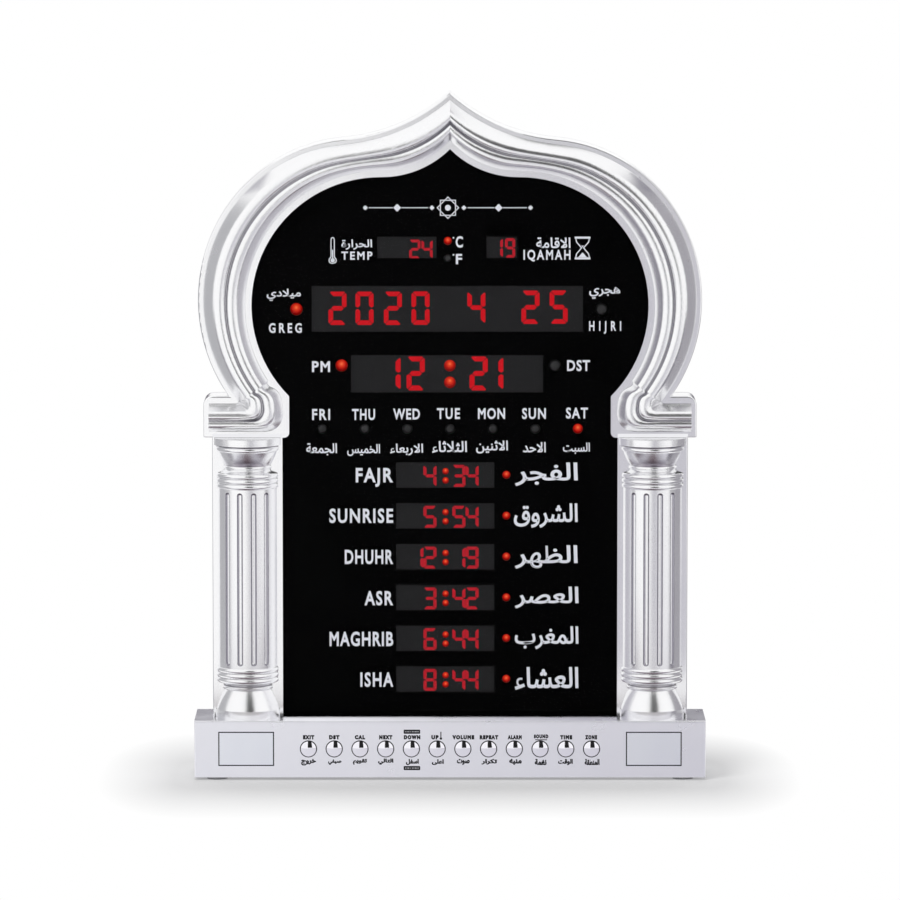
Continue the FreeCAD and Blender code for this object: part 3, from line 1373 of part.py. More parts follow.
def build():
    lit, dark = lamps()
    parts = [front_frame(), arch_moulding(), column("left_column", -1), column("right_column", 1)]
    parts += [plinth(), trim_plate("left_plate", -1), trim_plate("right_plate", 1), plinth_cover()]
    parts += [power_socket(), rubber_feet(), key_mat(), key_board()]
    parts += [key_cap(number) for number in range(1, KEYS + 1)]
    parts += [face_sheet(), face_mask()] + displays()
    parts += [lamp_group("lit_lamps", lit), lamp_group("dark_lamps", dark)]
    parts += [display_board(), main_board(), pin_headers(), main_chips(), cell_holder(), backup_cell()]
    parts += [ribbon_cable(), back_cover(), speaker_basket(), speaker_cone(), speaker_magnet()]
    return parts + all_screws()


def check(parts):
    """Stops with a clear message if any object failed or any piece is not a sound solid."""
    for thing in document.Objects:
        if "Invalid" in thing.State or "Error" in thing.State:
            raise RuntimeError(f"{thing.Name} failed: {thing.State} {thing.getStatusString()}")
    for part in parts:
        if part.Shape.isNull() or not part.Shape.isValid() or not part.Shape.Solids:
            raise RuntimeError(f"{part.Label} is not a sound solid")


def write(parts):
    os.makedirs("parts", exist_ok=True)
    for part in parts:
        part.Shape.exportStep(os.path.join("parts", f"{part.Label}.step"))


pieces = build()
document.recompute()
check(pieces)
write(pieces)
for piece in pieces:
    print(f"{piece.Label:22s} solids {len(piece.Shape.Solids):3d}  volume {piece.Shape.Volume / 1000:9.3f} cm3")
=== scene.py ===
import math

import bmesh
import bpy
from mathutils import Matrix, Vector


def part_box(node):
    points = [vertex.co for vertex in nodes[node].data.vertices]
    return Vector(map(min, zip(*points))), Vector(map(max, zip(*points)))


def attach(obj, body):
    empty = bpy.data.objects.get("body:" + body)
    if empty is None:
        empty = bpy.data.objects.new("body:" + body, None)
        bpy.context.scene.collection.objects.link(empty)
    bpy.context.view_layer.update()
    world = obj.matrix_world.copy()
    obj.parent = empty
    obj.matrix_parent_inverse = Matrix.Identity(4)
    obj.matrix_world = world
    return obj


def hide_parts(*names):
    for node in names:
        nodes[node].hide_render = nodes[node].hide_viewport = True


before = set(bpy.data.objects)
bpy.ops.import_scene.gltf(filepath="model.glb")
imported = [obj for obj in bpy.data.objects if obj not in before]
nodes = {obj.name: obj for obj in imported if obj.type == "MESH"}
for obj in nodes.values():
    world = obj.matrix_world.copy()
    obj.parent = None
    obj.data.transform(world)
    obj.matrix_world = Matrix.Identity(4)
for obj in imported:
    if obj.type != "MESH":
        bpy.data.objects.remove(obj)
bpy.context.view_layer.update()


# ---- The plinth ----
# A long hollow box, moulded in ABS and plated in a satin silver. It stands on four rubber pads and is
# closed at the back by a flat cover. Its front carries the twelve keys and two thin trim plates.

MM = 0.001


def noise(tree, place, size, detail=3.0, stretch=(1, 1, 1)):
    """Noise whose features are about size millimetres."""
    spread = tree.nodes.new("ShaderNodeMapping")
    spread.inputs["Scale"].default_value = stretch
    tree.links.new(place, spread.inputs["Vector"])
    texture = tree.nodes.new("ShaderNodeTexNoise")
    texture.inputs["Scale"].default_value = 1 / (size * MM)
    texture.inputs["Detail"].default_value = detail
    tree.links.new(spread.outputs["Vector"], texture.inputs["Vector"])
    return texture.outputs["Fac"]


def between(tree, share, low, high, start=0.3, end=0.7):
    """A number that runs from low to high as share runs from start to end."""
    scale = tree.nodes.new("ShaderNodeMapRange")
    scale.inputs["From Min"].default_value = start
    scale.inputs["From Max"].default_value = end
    scale.inputs["To Min"].default_value = low
    scale.inputs["To Max"].default_value = high
    tree.links.new(share, scale.inputs["Value"])
    return scale.outputs["Result"]


def blend(tree, share, first, second):
    """A colour that runs from first to second with share."""
    mix = tree.nodes.new("ShaderNodeMix")
    mix.data_type = "RGBA"
    mix.inputs["A"].default_value = (*first, 1)
    mix.inputs["B"].default_value = (*second, 1)
    tree.links.new(share, mix.inputs["Factor"])
    return mix.outputs["Result"]


def stain(tree, tone, share, colour):
    """The tone, covered by a colour where share is 1."""
    mix = tree.nodes.new("ShaderNodeMix")
    mix.data_type = "RGBA"
    mix.inputs["B"].default_value = (*colour, 1)
    tree.links.new(tone, mix.inputs["A"])
    tree.links.new(share, mix.inputs["Factor"])
    return mix.outputs["Result"]


def finish(name, colour, metallic=0.0, roughness=0.4, swing=0.05, shade=0.04, patch=25, grain=0.8,
           depth=0.004, stretch=(1, 1, 1), hollow=0, open_sky=(0.08, 0.55), hollow_shade=(0.2, 0.19, 0.22),
           sockets=()):
    """A finish that wanders a little in colour and gloss over patches, with a fine grain in its surface.
    Patch, grain and depth are in millimetres. It is darkened with painted shade in hollows about as wide
    as hollow, from none to all as the share of open sky falls from the second to the first of open_sky."""
    material = bpy.data.materials.new(name)
    material.use_nodes = True
    tree = material.node_tree
    shader = tree.nodes["Principled BSDF"]
    shader.inputs["Metallic"].default_value = metallic
    for socket, value in sockets:
        shader.inputs[socket].default_value = value
    place = tree.nodes.new("ShaderNodeTexCoord").outputs["Object"]
    broad = noise(tree, place, patch, 2.0, stretch)
    fine = noise(tree, place, grain, 3.0, stretch)
    dark = [value * (1 - shade) for value in colour]
    light = [min(value * (1 + shade), 1) for value in colour]
    tone = blend(tree, between(tree, broad, 0, 1), dark, light)
    if hollow:
        # painted shade: where little open sky is seen, the colour turns to the dark shade tone
        shelter = tree.nodes.new("ShaderNodeAmbientOcclusion")
        shelter.samples = 16
        shelter.inputs["Distance"].default_value = hollow * MM
        tone = stain(tree, tone, between(tree, shelter.outputs["AO"], 1, 0, *open_sky), hollow_shade)
    tree.links.new(tone, shader.inputs["Base Color"])
    tree.links.new(between(tree, broad, roughness - swing, roughness + swing), shader.inputs["Roughness"])
    bump = tree.nodes.new("ShaderNodeBump")
    bump.inputs["Strength"].default_value = 1
    bump.inputs["Distance"].default_value = depth * MM
    tree.links.new(fine, bump.inputs["Height"])
    tree.links.new(bump.outputs["Normal"], shader.inputs["Normal"])
    return material


def wear(material, *names):
    """Gives CAD pieces their finish."""
    for name in names:
        for slot in nodes[name].material_slots:
            slot.material = material


# the plinth's plating is darkened with painted shade in its narrow hollows
wear(finish("satin_plated_abs", (0.94, 0.94, 0.98), metallic=1, roughness=0.3, swing=0.03, shade=0.02,
            grain=0.6, depth=0.0015, hollow=0.8, hollow_shade=(0.05, 0.05, 0.06)), "plinth")
wear(finish("plinth_cover_abs", (0.30, 0.30, 0.32), roughness=0.55, grain=0.5, depth=0.02), "plinth_cover")
wear(finish("foot_rubber", (0.40, 0.40, 0.41), roughness=0.7, grain=0.7, depth=0.03,
            sockets=[("Specular IOR Level", 0.25)]), "rubber_feet")


# ---- The trim plates ----
# Two thin pressed plates, brushed along their length and lacquered, set flush in seats at the ends of
# the plinth's front.

wear(finish("brushed_plate", (0.90, 0.92, 0.99), metallic=1, roughness=0.3, swing=0.02, shade=0.05, patch=40,
            grain=0.35, depth=0.001, stretch=(1, 1, 0.3)), "left_plate", "right_plate")


# ---- The keys ----
# Twelve chromed caps, each turned up in a low dome. They slide in round holes against a silicone mat on
# the key board behind the plinth's front wall.

KEYS = [f"button_{number:02d}" for number in range(1, 13)]
# the keys' chrome is darkened with painted shade where each dome meets its hole
key_chrome = finish("key_chrome", (0.91, 0.90, 0.95), metallic=1, roughness=0.06, swing=0.02, shade=0.01,
                    grain=1.2, depth=0.0006, hollow=0.9, hollow_shade=(0.04, 0.04, 0.05))
wear(key_chrome, *KEYS)

# the very middle of each dome is flat: where a facet looks straight to the front, the normal is its own
STRAIGHT, NEARLY_STRAIGHT = -0.9985, -0.9975
tree = key_chrome.node_tree
surface = tree.nodes.new("ShaderNodeNewGeometry")
facing = tree.nodes.new("ShaderNodeSeparateXYZ")
tree.links.new(surface.outputs["True Normal"], facing.inputs[0])
flat_middle = tree.nodes.new("ShaderNodeMix")
flat_middle.data_type = "VECTOR"
straight = between(tree, facing.outputs["Y"], 1, 0, STRAIGHT, NEARLY_STRAIGHT)
tree.links.new(straight, flat_middle.inputs["Factor"])
tree.links.new(surface.outputs["Normal"], flat_middle.inputs[4])
tree.links.new(surface.outputs["True Normal"], flat_middle.inputs[5])
for node in tree.nodes:
    if node.bl_idname in ("ShaderNodeBump", "ShaderNodeAmbientOcclusion"):
        tree.links.new(flat_middle.outputs[1], node.inputs["Normal"])

wear(finish("key_mat_silicone", (0.45, 0.46, 0.47), roughness=0.6, sockets=[("Specular IOR Level", 0.3)]),
     "key_mat")
wear(finish("board_lacquer", (0.02, 0.13, 0.05), roughness=0.35, shade=0.25, patch=4, grain=1.5, depth=0.03),
     "key_board", "display_board", "main_board")


# ---- The key legends ----
# Black pad print above and below each key: a short word in Latin letters and one in Arabic, and a bar
# over and under the fifth pair. The Arabic words are typed in joined letter shapes, from left to right.

KEY_WORDS = [
    # word, left, low, right, top
    ("EXIT", -85.7, 24.1, -79.1, 26.6),
    ("DST", -70.5, 24.1, -64.4, 26.6),
    ("CAL", -55.5, 24.1, -49.5, 26.6),
    ("NEXT", -41.3, 24.1, -33.6, 26.6),
    ("DOWN", -26.9, 24.1, -17.3, 26.6),
    ("UP", -10.9, 24.1, -6.6, 26.6),
    ("VOLUME", 1.3, 24.1, 14.1, 26.6),
    ("REPEAT", 17.3, 24.1, 28.1, 26.6),
    ("ALARM", 33.6, 24.1, 41.8, 26.6),
    ("SOUND", 48.9, 24.7, 57.3, 27.0),
    ("TIME", 64.2, 24.1, 71.2, 26.6),
    ("ZONE", 78.7, 24.1, 85.7, 26.6),
]
KEY_ARABIC = [
    ("ﺝﻭﺮﺧ", -86.8, 8.7, -78.1, 12.6),
    ("ﻲﻔﻴﺻ", -71.1, 9.1, -63.3, 12.3),
    ("ﻢﻳﻮﻘﺗ", -56.6, 9.2, -48.4, 12.6),
    ("ﻲﻟﺎﺘﻟﺍ", -42.0, 9.2, -33.0, 12.8),
    ("ﻞﻔﺳﺍ", -25.7, 9.0, -18.2, 12.6),
    ("ﻰﻠﻋﺍ", -10.6, 9.0, -3.6, 12.4),
    ("ﺕﻮﺻ", 4.0, 9.0, 11.5, 12.6),
    ("ﺭﺍﺮﻜﺗ", 18.2, 9.2, 27.5, 12.6),
    ("ﻪﺒﻨﻣ", 34.5, 9.0, 41.8, 12.6),
    ("ﺔﻤﻐﻧ", 49.4, 8.9, 56.3, 12.6),
    ("ﺖﻗﻮﻟﺍ", 63.0, 8.9, 71.6, 12.6),
    ("ﺔﻘﻄﻨﻤﻟﺍ", 78.5, 8.9, 87.2, 12.6),
]
# how thick the print is, how far its strokes swell, and how wide its Latin words are set
PRINT_THICK = 0.03
KEY_BOLD, KEY_ARABIC_BOLD = 0.10, 0.06
KEY_SPREAD = 1.35


def add_piece(name, mesh, material, smooth=False):
    """Turns a built mesh, in millimetres, into a piece that rides on the clock."""
    bmesh.ops.scale(mesh, vec=(MM, MM, MM), verts=mesh.verts)
    bmesh.ops.recalc_face_normals(mesh, faces=mesh.faces)
    for face in mesh.faces:
        face.smooth = smooth
    data = bpy.data.meshes.new(name)
    mesh.to_mesh(data)
    mesh.free()
    data.materials.append(material)
    piece = bpy.data.objects.new(name, data)
    bpy.context.scene.collection.objects.link(piece)
    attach(piece, "clock")
    return piece


# a capital letter's height in a font of size 1
CAPITAL = 0.682


def add_word(mesh, word, left, low, right, top, front, thick, bold, spread=1.0):
    """Sets one word upright with its face at Y = front, fitted to its box. Capitals stand on the box's
    foot and reach its top. The strokes swell by bold at each side, and every second letter stands a hair
    behind the others, so that joined letters don't share a face."""
    curve = bpy.data.curves.new("word", "FONT")
    curve.body = word
    for index, letter in enumerate(curve.body_format):
        letter.material_index = index % 2
    curve.materials.append(None)
    curve.materials.append(None)
    curve.bevel_depth = bold
    curve.bevel_resolution = 0
    curve.space_character = spread
    curve.extrude = 0.5
    curve.resolution_u = 3
    holder = bpy.data.objects.new("word", curve)
    bpy.context.scene.collection.objects.link(holder)
    found = holder.evaluated_get(bpy.context.evaluated_depsgraph_get())
    flat = bpy.data.meshes.new_from_object(found)
    across = [vertex.co.x for vertex in flat.vertices]
    up = [vertex.co.y for vertex in flat.vertices]
    if word.isascii():
        up = (-bold, CAPITAL + bold)
    start, foot, reach = min(across), min(up), curve.extrude + bold
    wide = (right - left) / (max(across) - start)
    high = (top - low) / (max(up) - foot)
    behind = {corner for face in flat.polygons if face.material_index for corner in face.vertices}
    for vertex in flat.vertices:
        x, y, z = vertex.co
        deep = (reach - z) / (2 * reach) * thick * 0.8 + (thick * 0.2 if vertex.index in behind else 0)
        vertex.co = (left + (x - start) * wide, front + deep, low + (y - foot) * high)
    for face in flat.polygons:
        face.material_index = 0
    mesh.from_mesh(flat)
    bpy.data.objects.remove(holder)
    bpy.data.curves.remove(curve)
    bpy.data.meshes.remove(flat)


def add_plate(mesh, outline, front, thick):
    """A flat plate with the outline, as (across, up) places, and its face at Y = front."""
    near = [mesh.verts.new((x, front, z)) for x, z in outline]
    far = [mesh.verts.new((x, front + thick, z)) for x, z in outline]
    mesh.faces.new(near)
    mesh.faces.new(far[::-1])
    for index in range(len(outline)):
        after = (index + 1) % len(outline)
        mesh.faces.new((near[after], near[index], far[index], far[after]))


def rounded(left, low, right, top, radius, steps=4):
    """A rectangle's outline with round corners."""
    places = []
    for x, z, start in ((right, low, 270), (right, top, 0), (left, top, 90), (left, low, 180)):
        centre_x = x - radius if x == right else x + radius
        centre_z = z + radius if z == low else z - radius
        for step in range(steps + 1):
            angle = math.radians(start + 90 * step / steps)
            places.append((centre_x + radius * math.cos(angle), centre_z + radius * math.sin(angle)))
    return places


def add_band(mesh, places, wide, front, thick, closed=True):
    """A line of even width along the places."""
    count = len(places)
    sides = []
    for index, place in enumerate(places):
        before = Vector(places[index - 1] if closed or index else place)
        after = Vector(places[(index + 1) % count] if closed or index < count - 1 else place)
        here = Vector(place)
        first = (here - before).normalized() if before != here else (after - here).normalized()
        second = (after - here).normalized() if after != here else first
        way = (first + second).normalized()
        across = Vector((-way.y, way.x)) * (wide / 2 / max(way.dot(first), 0.3))
        sides.append((here + across, here - across))
    for index in range(count if closed else count - 1):
        outer, inner = sides[index]
        outer_after, inner_after = sides[(index + 1) % count]
        add_plate(mesh, [inner, inner_after, outer_after, outer], front, thick)


def circle(across, up, radius, steps=24):
    """A circle's outline."""
    angles = [2 * math.pi * step / steps for step in range(steps)]
    return [(across + radius * math.cos(angle), up + radius * math.sin(angle)) for angle in angles]


plinth_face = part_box("plinth")[0].y / MM
ink_face = plinth_face - PRINT_THICK
key_ink_and_gap_shade = finish("key_ink_and_gap_shade", (0.008, 0.008, 0.01), roughness=0.5, swing=0.1, grain=0.2, depth=0.003,
                 sockets=[("Specular IOR Level", 0.15)])
key_print = bmesh.new()
for row in KEY_WORDS:
    add_word(key_print, *row, ink_face, PRINT_THICK, KEY_BOLD, KEY_SPREAD)
for row in KEY_ARABIC:
    add_word(key_print, *row, ink_face, PRINT_THICK, KEY_ARABIC_BOLD)
KEY_SIGNS = [
    # left, low, right, top, radius: the two bars, the line under the tenth word, a dot and its stem
    (-27.0, 27.4, -17.4, 27.4 + 2.4, 0.4),
    (-27.0, 6.0, -17.4, 6.0 + 2.4, 0.4),
    (49.6, 23.6, 56.6, 24.1, 0.2),
    (-6.0, 23.9, -4.6, 25.3, 0.65),
    (-5.6, 24.9, -5.0, 28.6, 0.28),
]
for row in KEY_SIGNS:
    add_plate(key_print, rounded(*row), ink_face, PRINT_THICK)
add_piece("key_legends", key_print, key_ink_and_gap_shade)

# painted shade: a black ring round the edge of each key's hole, for the shade in the gap
RING_SHADE_R, RING_SHADE_WIDE, RING_SHADE_PROUD, RING_SHADE_DEEP = 4.78, 0.5, 0.02, 0.8
ring_shades = bmesh.new()
for name in KEYS:
    low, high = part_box(name)
    middle = (low + high) / 2 / MM
    ring = circle(middle.x, middle.z, RING_SHADE_R, 40)
    add_band(ring_shades, ring, RING_SHADE_WIDE, plinth_face - RING_SHADE_PROUD, RING_SHADE_DEEP)
add_piece("key_ring_shades", ring_shades, key_ink_and_gap_shade)

# painted shade: a black band in the gap round each trim plate
SEAM_WIDE, SEAM_PROUD, SEAM_DEEP = 0.66, 0.015, 0.9
seam_shades = bmesh.new()
for name in ("left_plate", "right_plate"):
    low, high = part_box(name)
    left, foot = low.x / MM - SEAM_WIDE / 2, low.z / MM - SEAM_WIDE / 2
    right, top = high.x / MM + SEAM_WIDE / 2, high.z / MM + SEAM_WIDE / 2
    outline = [(left, foot), (right, foot), (right, top), (left, top)]
    add_band(seam_shades, outline, SEAM_WIDE, plinth_face - SEAM_PROUD, SEAM_DEEP)
add_piece("plate_seam_shades", seam_shades, key_ink_and_gap_shade)

# light dashes in the two bars
DASHES = ((-26.1, -25.4), (-24.9, -23.7), (-23.2, -22.8), (-22.2, -21.2), (-20.7, -19.4), (-19.0, -18.3))
dashes = bmesh.new()
for low, top in ((28.3, 28.3 + 0.6), (6.9, 6.9 + 0.6)):
    for left, right in DASHES:
        outline = [(left, low), (right, low), (right, top), (left, top)]
        add_plate(dashes, outline, ink_face - PRINT_THICK, PRINT_THICK)
dash_ink = finish("dash_ink", (0.4, 0.4, 0.42), roughness=0.5, grain=0.2, depth=0.003)
add_piece("bar_dashes", dashes, dash_ink)


# ---- The arch: frame, moulding and columns ----
# The frame is a shell moulded in ABS. The moulding with its two beads is glued on its front, and the
# two half columns are screwed to its legs from behind. All of it is plated in bright silver.

SILVER = (0.96, 0.96, 0.97)
PAINTED_SHADE = (0.24, 0.23, 0.27)
# the frame and the moulding are darkened with painted shade in their hollows and grooves
wear(finish("bright_plated_abs", SILVER, metallic=1, roughness=0.13, swing=0.02, shade=0.01, grain=1.5,
            depth=0.0005, hollow=2.5, hollow_shade=PAINTED_SHADE), "front_frame")
wear(finish("satin_moulding_abs", SILVER, metallic=1, roughness=0.26, swing=0.02, shade=0.01, grain=1.5,
            depth=0.0005, hollow=2.2, open_sky=(0.45, 0.95), hollow_shade=PAINTED_SHADE), "arch_moulding")


def join(tree, target, value):
    """Links a socket to an input, or sets the input."""
    if isinstance(value, bpy.types.NodeSocket):
        tree.links.new(value, target)
    else:
        target.default_value = value


def worked_out(tree, operation, first, second=0.0):
    """One number from one or two."""
    maths = tree.nodes.new("ShaderNodeMath")
    maths.operation = operation
    join(tree, maths.inputs[0], first)
    join(tree, maths.inputs[1], second)
    return maths.outputs[0]


def stepped(tree, place, *steps):
    """A place after one or more vector operations in turn. The last may be its length."""
    for operation, value in steps:
        step = tree.nodes.new("ShaderNodeVectorMath")
        step.operation = operation
        tree.links.new(place, step.inputs[0])
        if value:
            step.inputs[1].default_value = value
        place = step.outputs["Value" if operation == "LENGTH" else "Vector"]
    return place


def product(tree, *shares):
    """All the shares multiplied."""
    whole = shares[0]
    for share in shares[1:]:
        whole = worked_out(tree, "MULTIPLY", whole, share)
    return whole


# the walls of the flutes are darkened with painted shade, a grey laid over their colour. They lie between
# the flutes' floor and the shaft's face, measured from a column's axis, and end where the flutes end
COLUMN_MIDDLE = (118.15 * MM, 4.0 * MM, 117.3 * MM)
FLUTE_FLOOR = (16.0 * MM, 16.25 * MM)
SHAFT_FACE = (17.1 * MM, 17.26 * MM)
FLUTE_END = (50.8 * MM, 51.4 * MM)
# the columns are darkened with painted shade in their hollows as well
column_silver = finish("column_plated_abs", SILVER, metallic=1, roughness=0.25, swing=0.02, shade=0.01,
                       grain=1.5, depth=0.0006, hollow=1.3, hollow_shade=PAINTED_SHADE)
tree = column_silver.node_tree
place = tree.nodes.new("ShaderNodeTexCoord").outputs["Object"]
from_middle = stepped(tree, place, ("ABSOLUTE", None), ("SUBTRACT", COLUMN_MIDDLE))
reach = stepped(tree, from_middle, ("MULTIPLY", (1, 1, 0)), ("LENGTH", None))
parts = tree.nodes.new("ShaderNodeSeparateXYZ")
tree.links.new(from_middle, parts.inputs[0])
height = worked_out(tree, "ABSOLUTE", parts.outputs["Z"])
flute_wall_shade = product(tree, between(tree, reach, 0, 1, *FLUTE_FLOOR), between(tree, reach, 1, 0, *SHAFT_FACE),
                between(tree, height, 1, 0, *FLUTE_END))
colour = tree.nodes["Principled BSDF"].inputs["Base Color"]
tone = stain(tree, colour.links[0].from_socket, flute_wall_shade, (0.42, 0.41, 0.46))

# the foot of the cone under each capital gets a painted dark reflection, most of all in its middle
CONE_FOOT = (65.7 * MM, 65.9 * MM)
CONE_PAINT_TOP = (67.5 * MM, 70.5 * MM)
CONE_SIDE = (4 * MM, 15 * MM)
beside = worked_out(tree, "ABSOLUTE", parts.outputs["X"])
cone = product(tree, between(tree, beside, 1, 0, *CONE_SIDE),
               between(tree, parts.outputs["Z"], 0, 1, *CONE_FOOT),
               between(tree, parts.outputs["Z"], 1, 0, *CONE_PAINT_TOP))
tree.links.new(stain(tree, tone, cone, (0.35, 0.32, 0.37)), colour)
wear(column_silver, "left_column", "right_column")


# ---- The face: clear sheet and black mask ----
# A 2 mm acrylic sheet lies in a seat behind the arch. The black film on its back has a window for each
# display and a hole for each lamp.

wear(finish("clear_acrylic", (0.002, 0.002, 0.002), roughness=0.07, swing=0.02, shade=0, patch=60, grain=8,
            depth=0.0004, sockets=[("Alpha", 0.07), ("Specular IOR Level", 0.1)]), "face_sheet")
wear(finish("mask_film", (0.0008, 0.0008, 0.0009), roughness=0.2, swing=0.04, grain=4, depth=0.0006,
            sockets=[("Specular IOR Level", 0.02)]), "face_mask")


# ---- The face legends ----
# White screen print on the back of the clear sheet: plain words for what each window shows, in Latin
# letters and in Arabic, with two small signs and an eight-pointed star between thin rules at the top.

FACE_WORDS = [
    # word, spread of its letters, left, low, right, top
    ("TEMP", 1.35, -63.2, 302.7, -45.1, 307.5),
    ("C", 1, 3.3, 309.8, 7.5, 316.4),
    ("F", 1, 3.4, 300.1, 7.0, 306.1),
    ("IQAMAH", 1.35, 42.7, 302.7, 70.1, 308.5),
    ("GREG", 1.55, -105.5, 260.0, -86.3, 265.7),
    ("HIJRI", 1.9, 81.0, 261.2, 99.7, 266.9),
    ("PM", 1.2, -80.4, 237.1, -69.9, 243.5),
    ("DST", 1.15, 68.2, 237.7, 81.6, 244.1),
    ("FRI", 1.25, -80.4, 209.0, -69.9, 215.5),
    ("THU", 1.2, -57.1, 209.0, -43.7, 215.5),
    ("WED", 1.15, -33.2, 209.3, -17.5, 215.7),
    ("TUE", 1.25, -7.6, 209.6, 5.8, 216.0),
    ("MON", 1.15, 16.3, 209.6, 32.1, 216.0),
    ("SUN", 1.2, 42.0, 209.6, 55.9, 216.0),
    ("SAT", 1.2, 67.6, 209.9, 80.4, 216.3),
    ("FAJR", 1.2, -55.0, 172.4, -33.2, 180.9),
    ("SUNRISE", 1.2, -70.5, 148.6, -33.2, 157.0),
    ("DHUHR", 1.15, -61.5, 124.4, -33.2, 132.8),
    ("ASR", 1.2, -50.0, 100.1, -33.2, 108.5),
    ("MAGHRIB", 1.15, -70.5, 76.0, -33.2, 84.5),
    ("ISHA", 1.2, -52.5, 52.0, -33.2, 60.5),
]
FACE_ARABIC = [
    ("ﺓﺭﺍﺮﺤﻟﺍ", -63.2, 308.5, -45.3, 314.6),
    ("ﺔﻣﺎﻗﻻﺍ", 50.1, 309.5, 70.1, 315.8),
    ("ﻱﺩﻼﻴﻣ", -106.7, 278.7, -86.8, 285.8),
    ("ﻱﺮﺠﻫ", 81.0, 279.9, 99.1, 286.9),
    ("ﺔﻌﻤﺠﻟﺍ", -83.9, 188.2, -65.9, 195.5),
    ("ﺲﻴﻤﺨﻟﺍ", -60.0, 187.9, -40.8, 194.9),
    ("ﺀﺎﻌﺑﺭﻻﺍ", -35.0, 188.2, -15.7, 195.2),
    ("ﺀﺎﺛﻼﺜﻟﺍ", -10.5, 189.7, 9.9, 196.7),
    ("ﻦﻴﻨﺛﻻﺍ", 15.2, 189.4, 33.8, 197.0),
    ("ﺪﺣﻻﺍ", 42.5, 190.0, 55.9, 196.1),
    ("ﺖﺒﺴﻟﺍ", 65.9, 189.1, 81.6, 195.8),
    ("ﺮﺠﻔﻟﺍ", 37.9, 170.3, 74.6, 184.1),
    ("ﻕﻭﺮﺸﻟﺍ", 37.3, 145.7, 74.6, 160.1),
    ("ﺮﻬﻈﻟﺍ", 37.9, 121.7, 74.6, 135.5),
    ("ﺮﺼﻌﻟﺍ", 37.9, 98.3, 75.2, 111.1),
    ("ﺏﺮﻐﻤﻟﺍ", 37.9, 74.2, 75.2, 87.7),
    ("ﺀﺎﺸﻌﻟﺍ", 37.9, 50.2, 75.2, 63.7),
]
FACE_BOLD, FACE_ARABIC_BOLD = 0.028, 0.02
MASK_GAP = 0.01
mask_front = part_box("face_mask")[0].y / MM
print_face = mask_front - PRINT_THICK - MASK_GAP
face_ink = finish("face_ink", (0.79, 0.81, 0.87), roughness=0.5, shade=0.02, grain=0.2, depth=0.003)
face_print = bmesh.new()
for word, spread, *place in FACE_WORDS:
    add_word(face_print, word, *place, print_face, PRINT_THICK, FACE_BOLD, spread)
for row in FACE_ARABIC:
    add_word(face_print, *row, print_face, PRINT_THICK, FACE_ARABIC_BOLD)

# the degree dots before C and F
for level in (315.5, 305.6):
    add_plate(face_print, circle(2.0, level, 0.5), print_face, PRINT_THICK)

# the lower loop of the third name's middle letter, which its outline leaves open: a hair behind the rest
LOOP = [(47.9, 125.6), (48.2, 124.3), (49.2, 123.3), (50.4, 122.9), (51.6, 122.9), (52.6, 123.3),
        (52.9, 124.2), (52.5, 125.2)]
LOOP_WIDE = 0.9
add_band(face_print, LOOP, LOOP_WIDE, print_face + PRINT_THICK / 3, PRINT_THICK / 3, closed=False)

# the thermometer: the outline of its glass, its bulb and its column
LINE_WIDE = 0.55
THERMOMETER = [(-69.2, 304.6), (-69.5, 303.9), (-70.2, 303.1), (-70.4, 302.2), (-70.0, 301.2), (-69.1, 300.7),
               (-68.2, 300.6), (-67.3, 300.8), (-66.5, 301.3), (-66.1, 302.2), (-66.3, 303.1), (-67.0, 303.9),
               (-67.3, 304.6), (-67.3, 314.4), (-67.6, 315.3), (-68.2, 315.7), (-68.9, 315.3), (-69.2, 314.4)]
add_band(face_print, THERMOMETER, LINE_WIDE, print_face, PRINT_THICK)
add_plate(face_print, circle(-68.25, 302.4, 1.25), print_face, PRINT_THICK)
add_plate(face_print, rounded(-68.6, 302.6, -67.9, 308.6, 0.3), print_face, PRINT_THICK)

# the sand glass: two plates, the waisted glass and the sand in both halves
GLASS_X, GLASS_LINE = 77.1, 0.6
GLASS = [(3.9, 304.2), (3.5, 306.2), (2.0, 307.9), (0.6, 309.6), (2.0, 311.3), (3.5, 313.0), (3.9, 315.0)]
for low in (302.9, 315.0):
    add_plate(face_print, rounded(72.5, low, 81.7, low + 1.2, 0.3), print_face, PRINT_THICK)
for side in (-1, 1):
    half = [(GLASS_X + side * wide, level) for wide, level in GLASS]
    add_band(face_print, half, GLASS_LINE, print_face, PRINT_THICK, closed=False)
for sand in ([(74.6, 304.2), (79.6, 304.2), (GLASS_X, 307.0)],
             [(GLASS_X, 309.9), (77.9, 311.0), (76.3, 311.0)]):
    add_plate(face_print, sand, print_face, PRINT_THICK)

# the star: two squares turned by an eighth with a dot in their middle, and at each side two thin rules
# with a diamond at each end
STAR_X, STAR_Z, STAR_R, DOT_R = -1.2, 333.0, 6.2, 1.7
RULE_WIDE = 0.5
for turned in (0, 45):
    corners = [math.radians(turned + 90 * corner) for corner in range(4)]
    square = [(STAR_X + STAR_R * math.cos(angle), STAR_Z + STAR_R * math.sin(angle)) for angle in corners]
    add_band(face_print, square, LINE_WIDE, print_face, PRINT_THICK)
add_plate(face_print, circle(STAR_X, STAR_Z, DOT_R), print_face, PRINT_THICK)
for side in (-1, 1):
    for start, end in ((11.5, 27.0), (32.0, 46.0)):
        line = [(STAR_X + side * start, STAR_Z), (STAR_X + side * end, STAR_Z)]
        add_band(face_print, line, RULE_WIDE, print_face, PRINT_THICK, closed=False)
    for place, size in ((9.3, 1.5), (29.5, 2.3), (48.0, 1.5)):
        across = STAR_X + side * place
        diamond = [(across + size, STAR_Z), (across, STAR_Z + size), (across - size, STAR_Z),
                   (across, STAR_Z - size)]
        add_plate(face_print, diamond, print_face, PRINT_THICK)
add_piece("face_legends", face_print, face_ink)


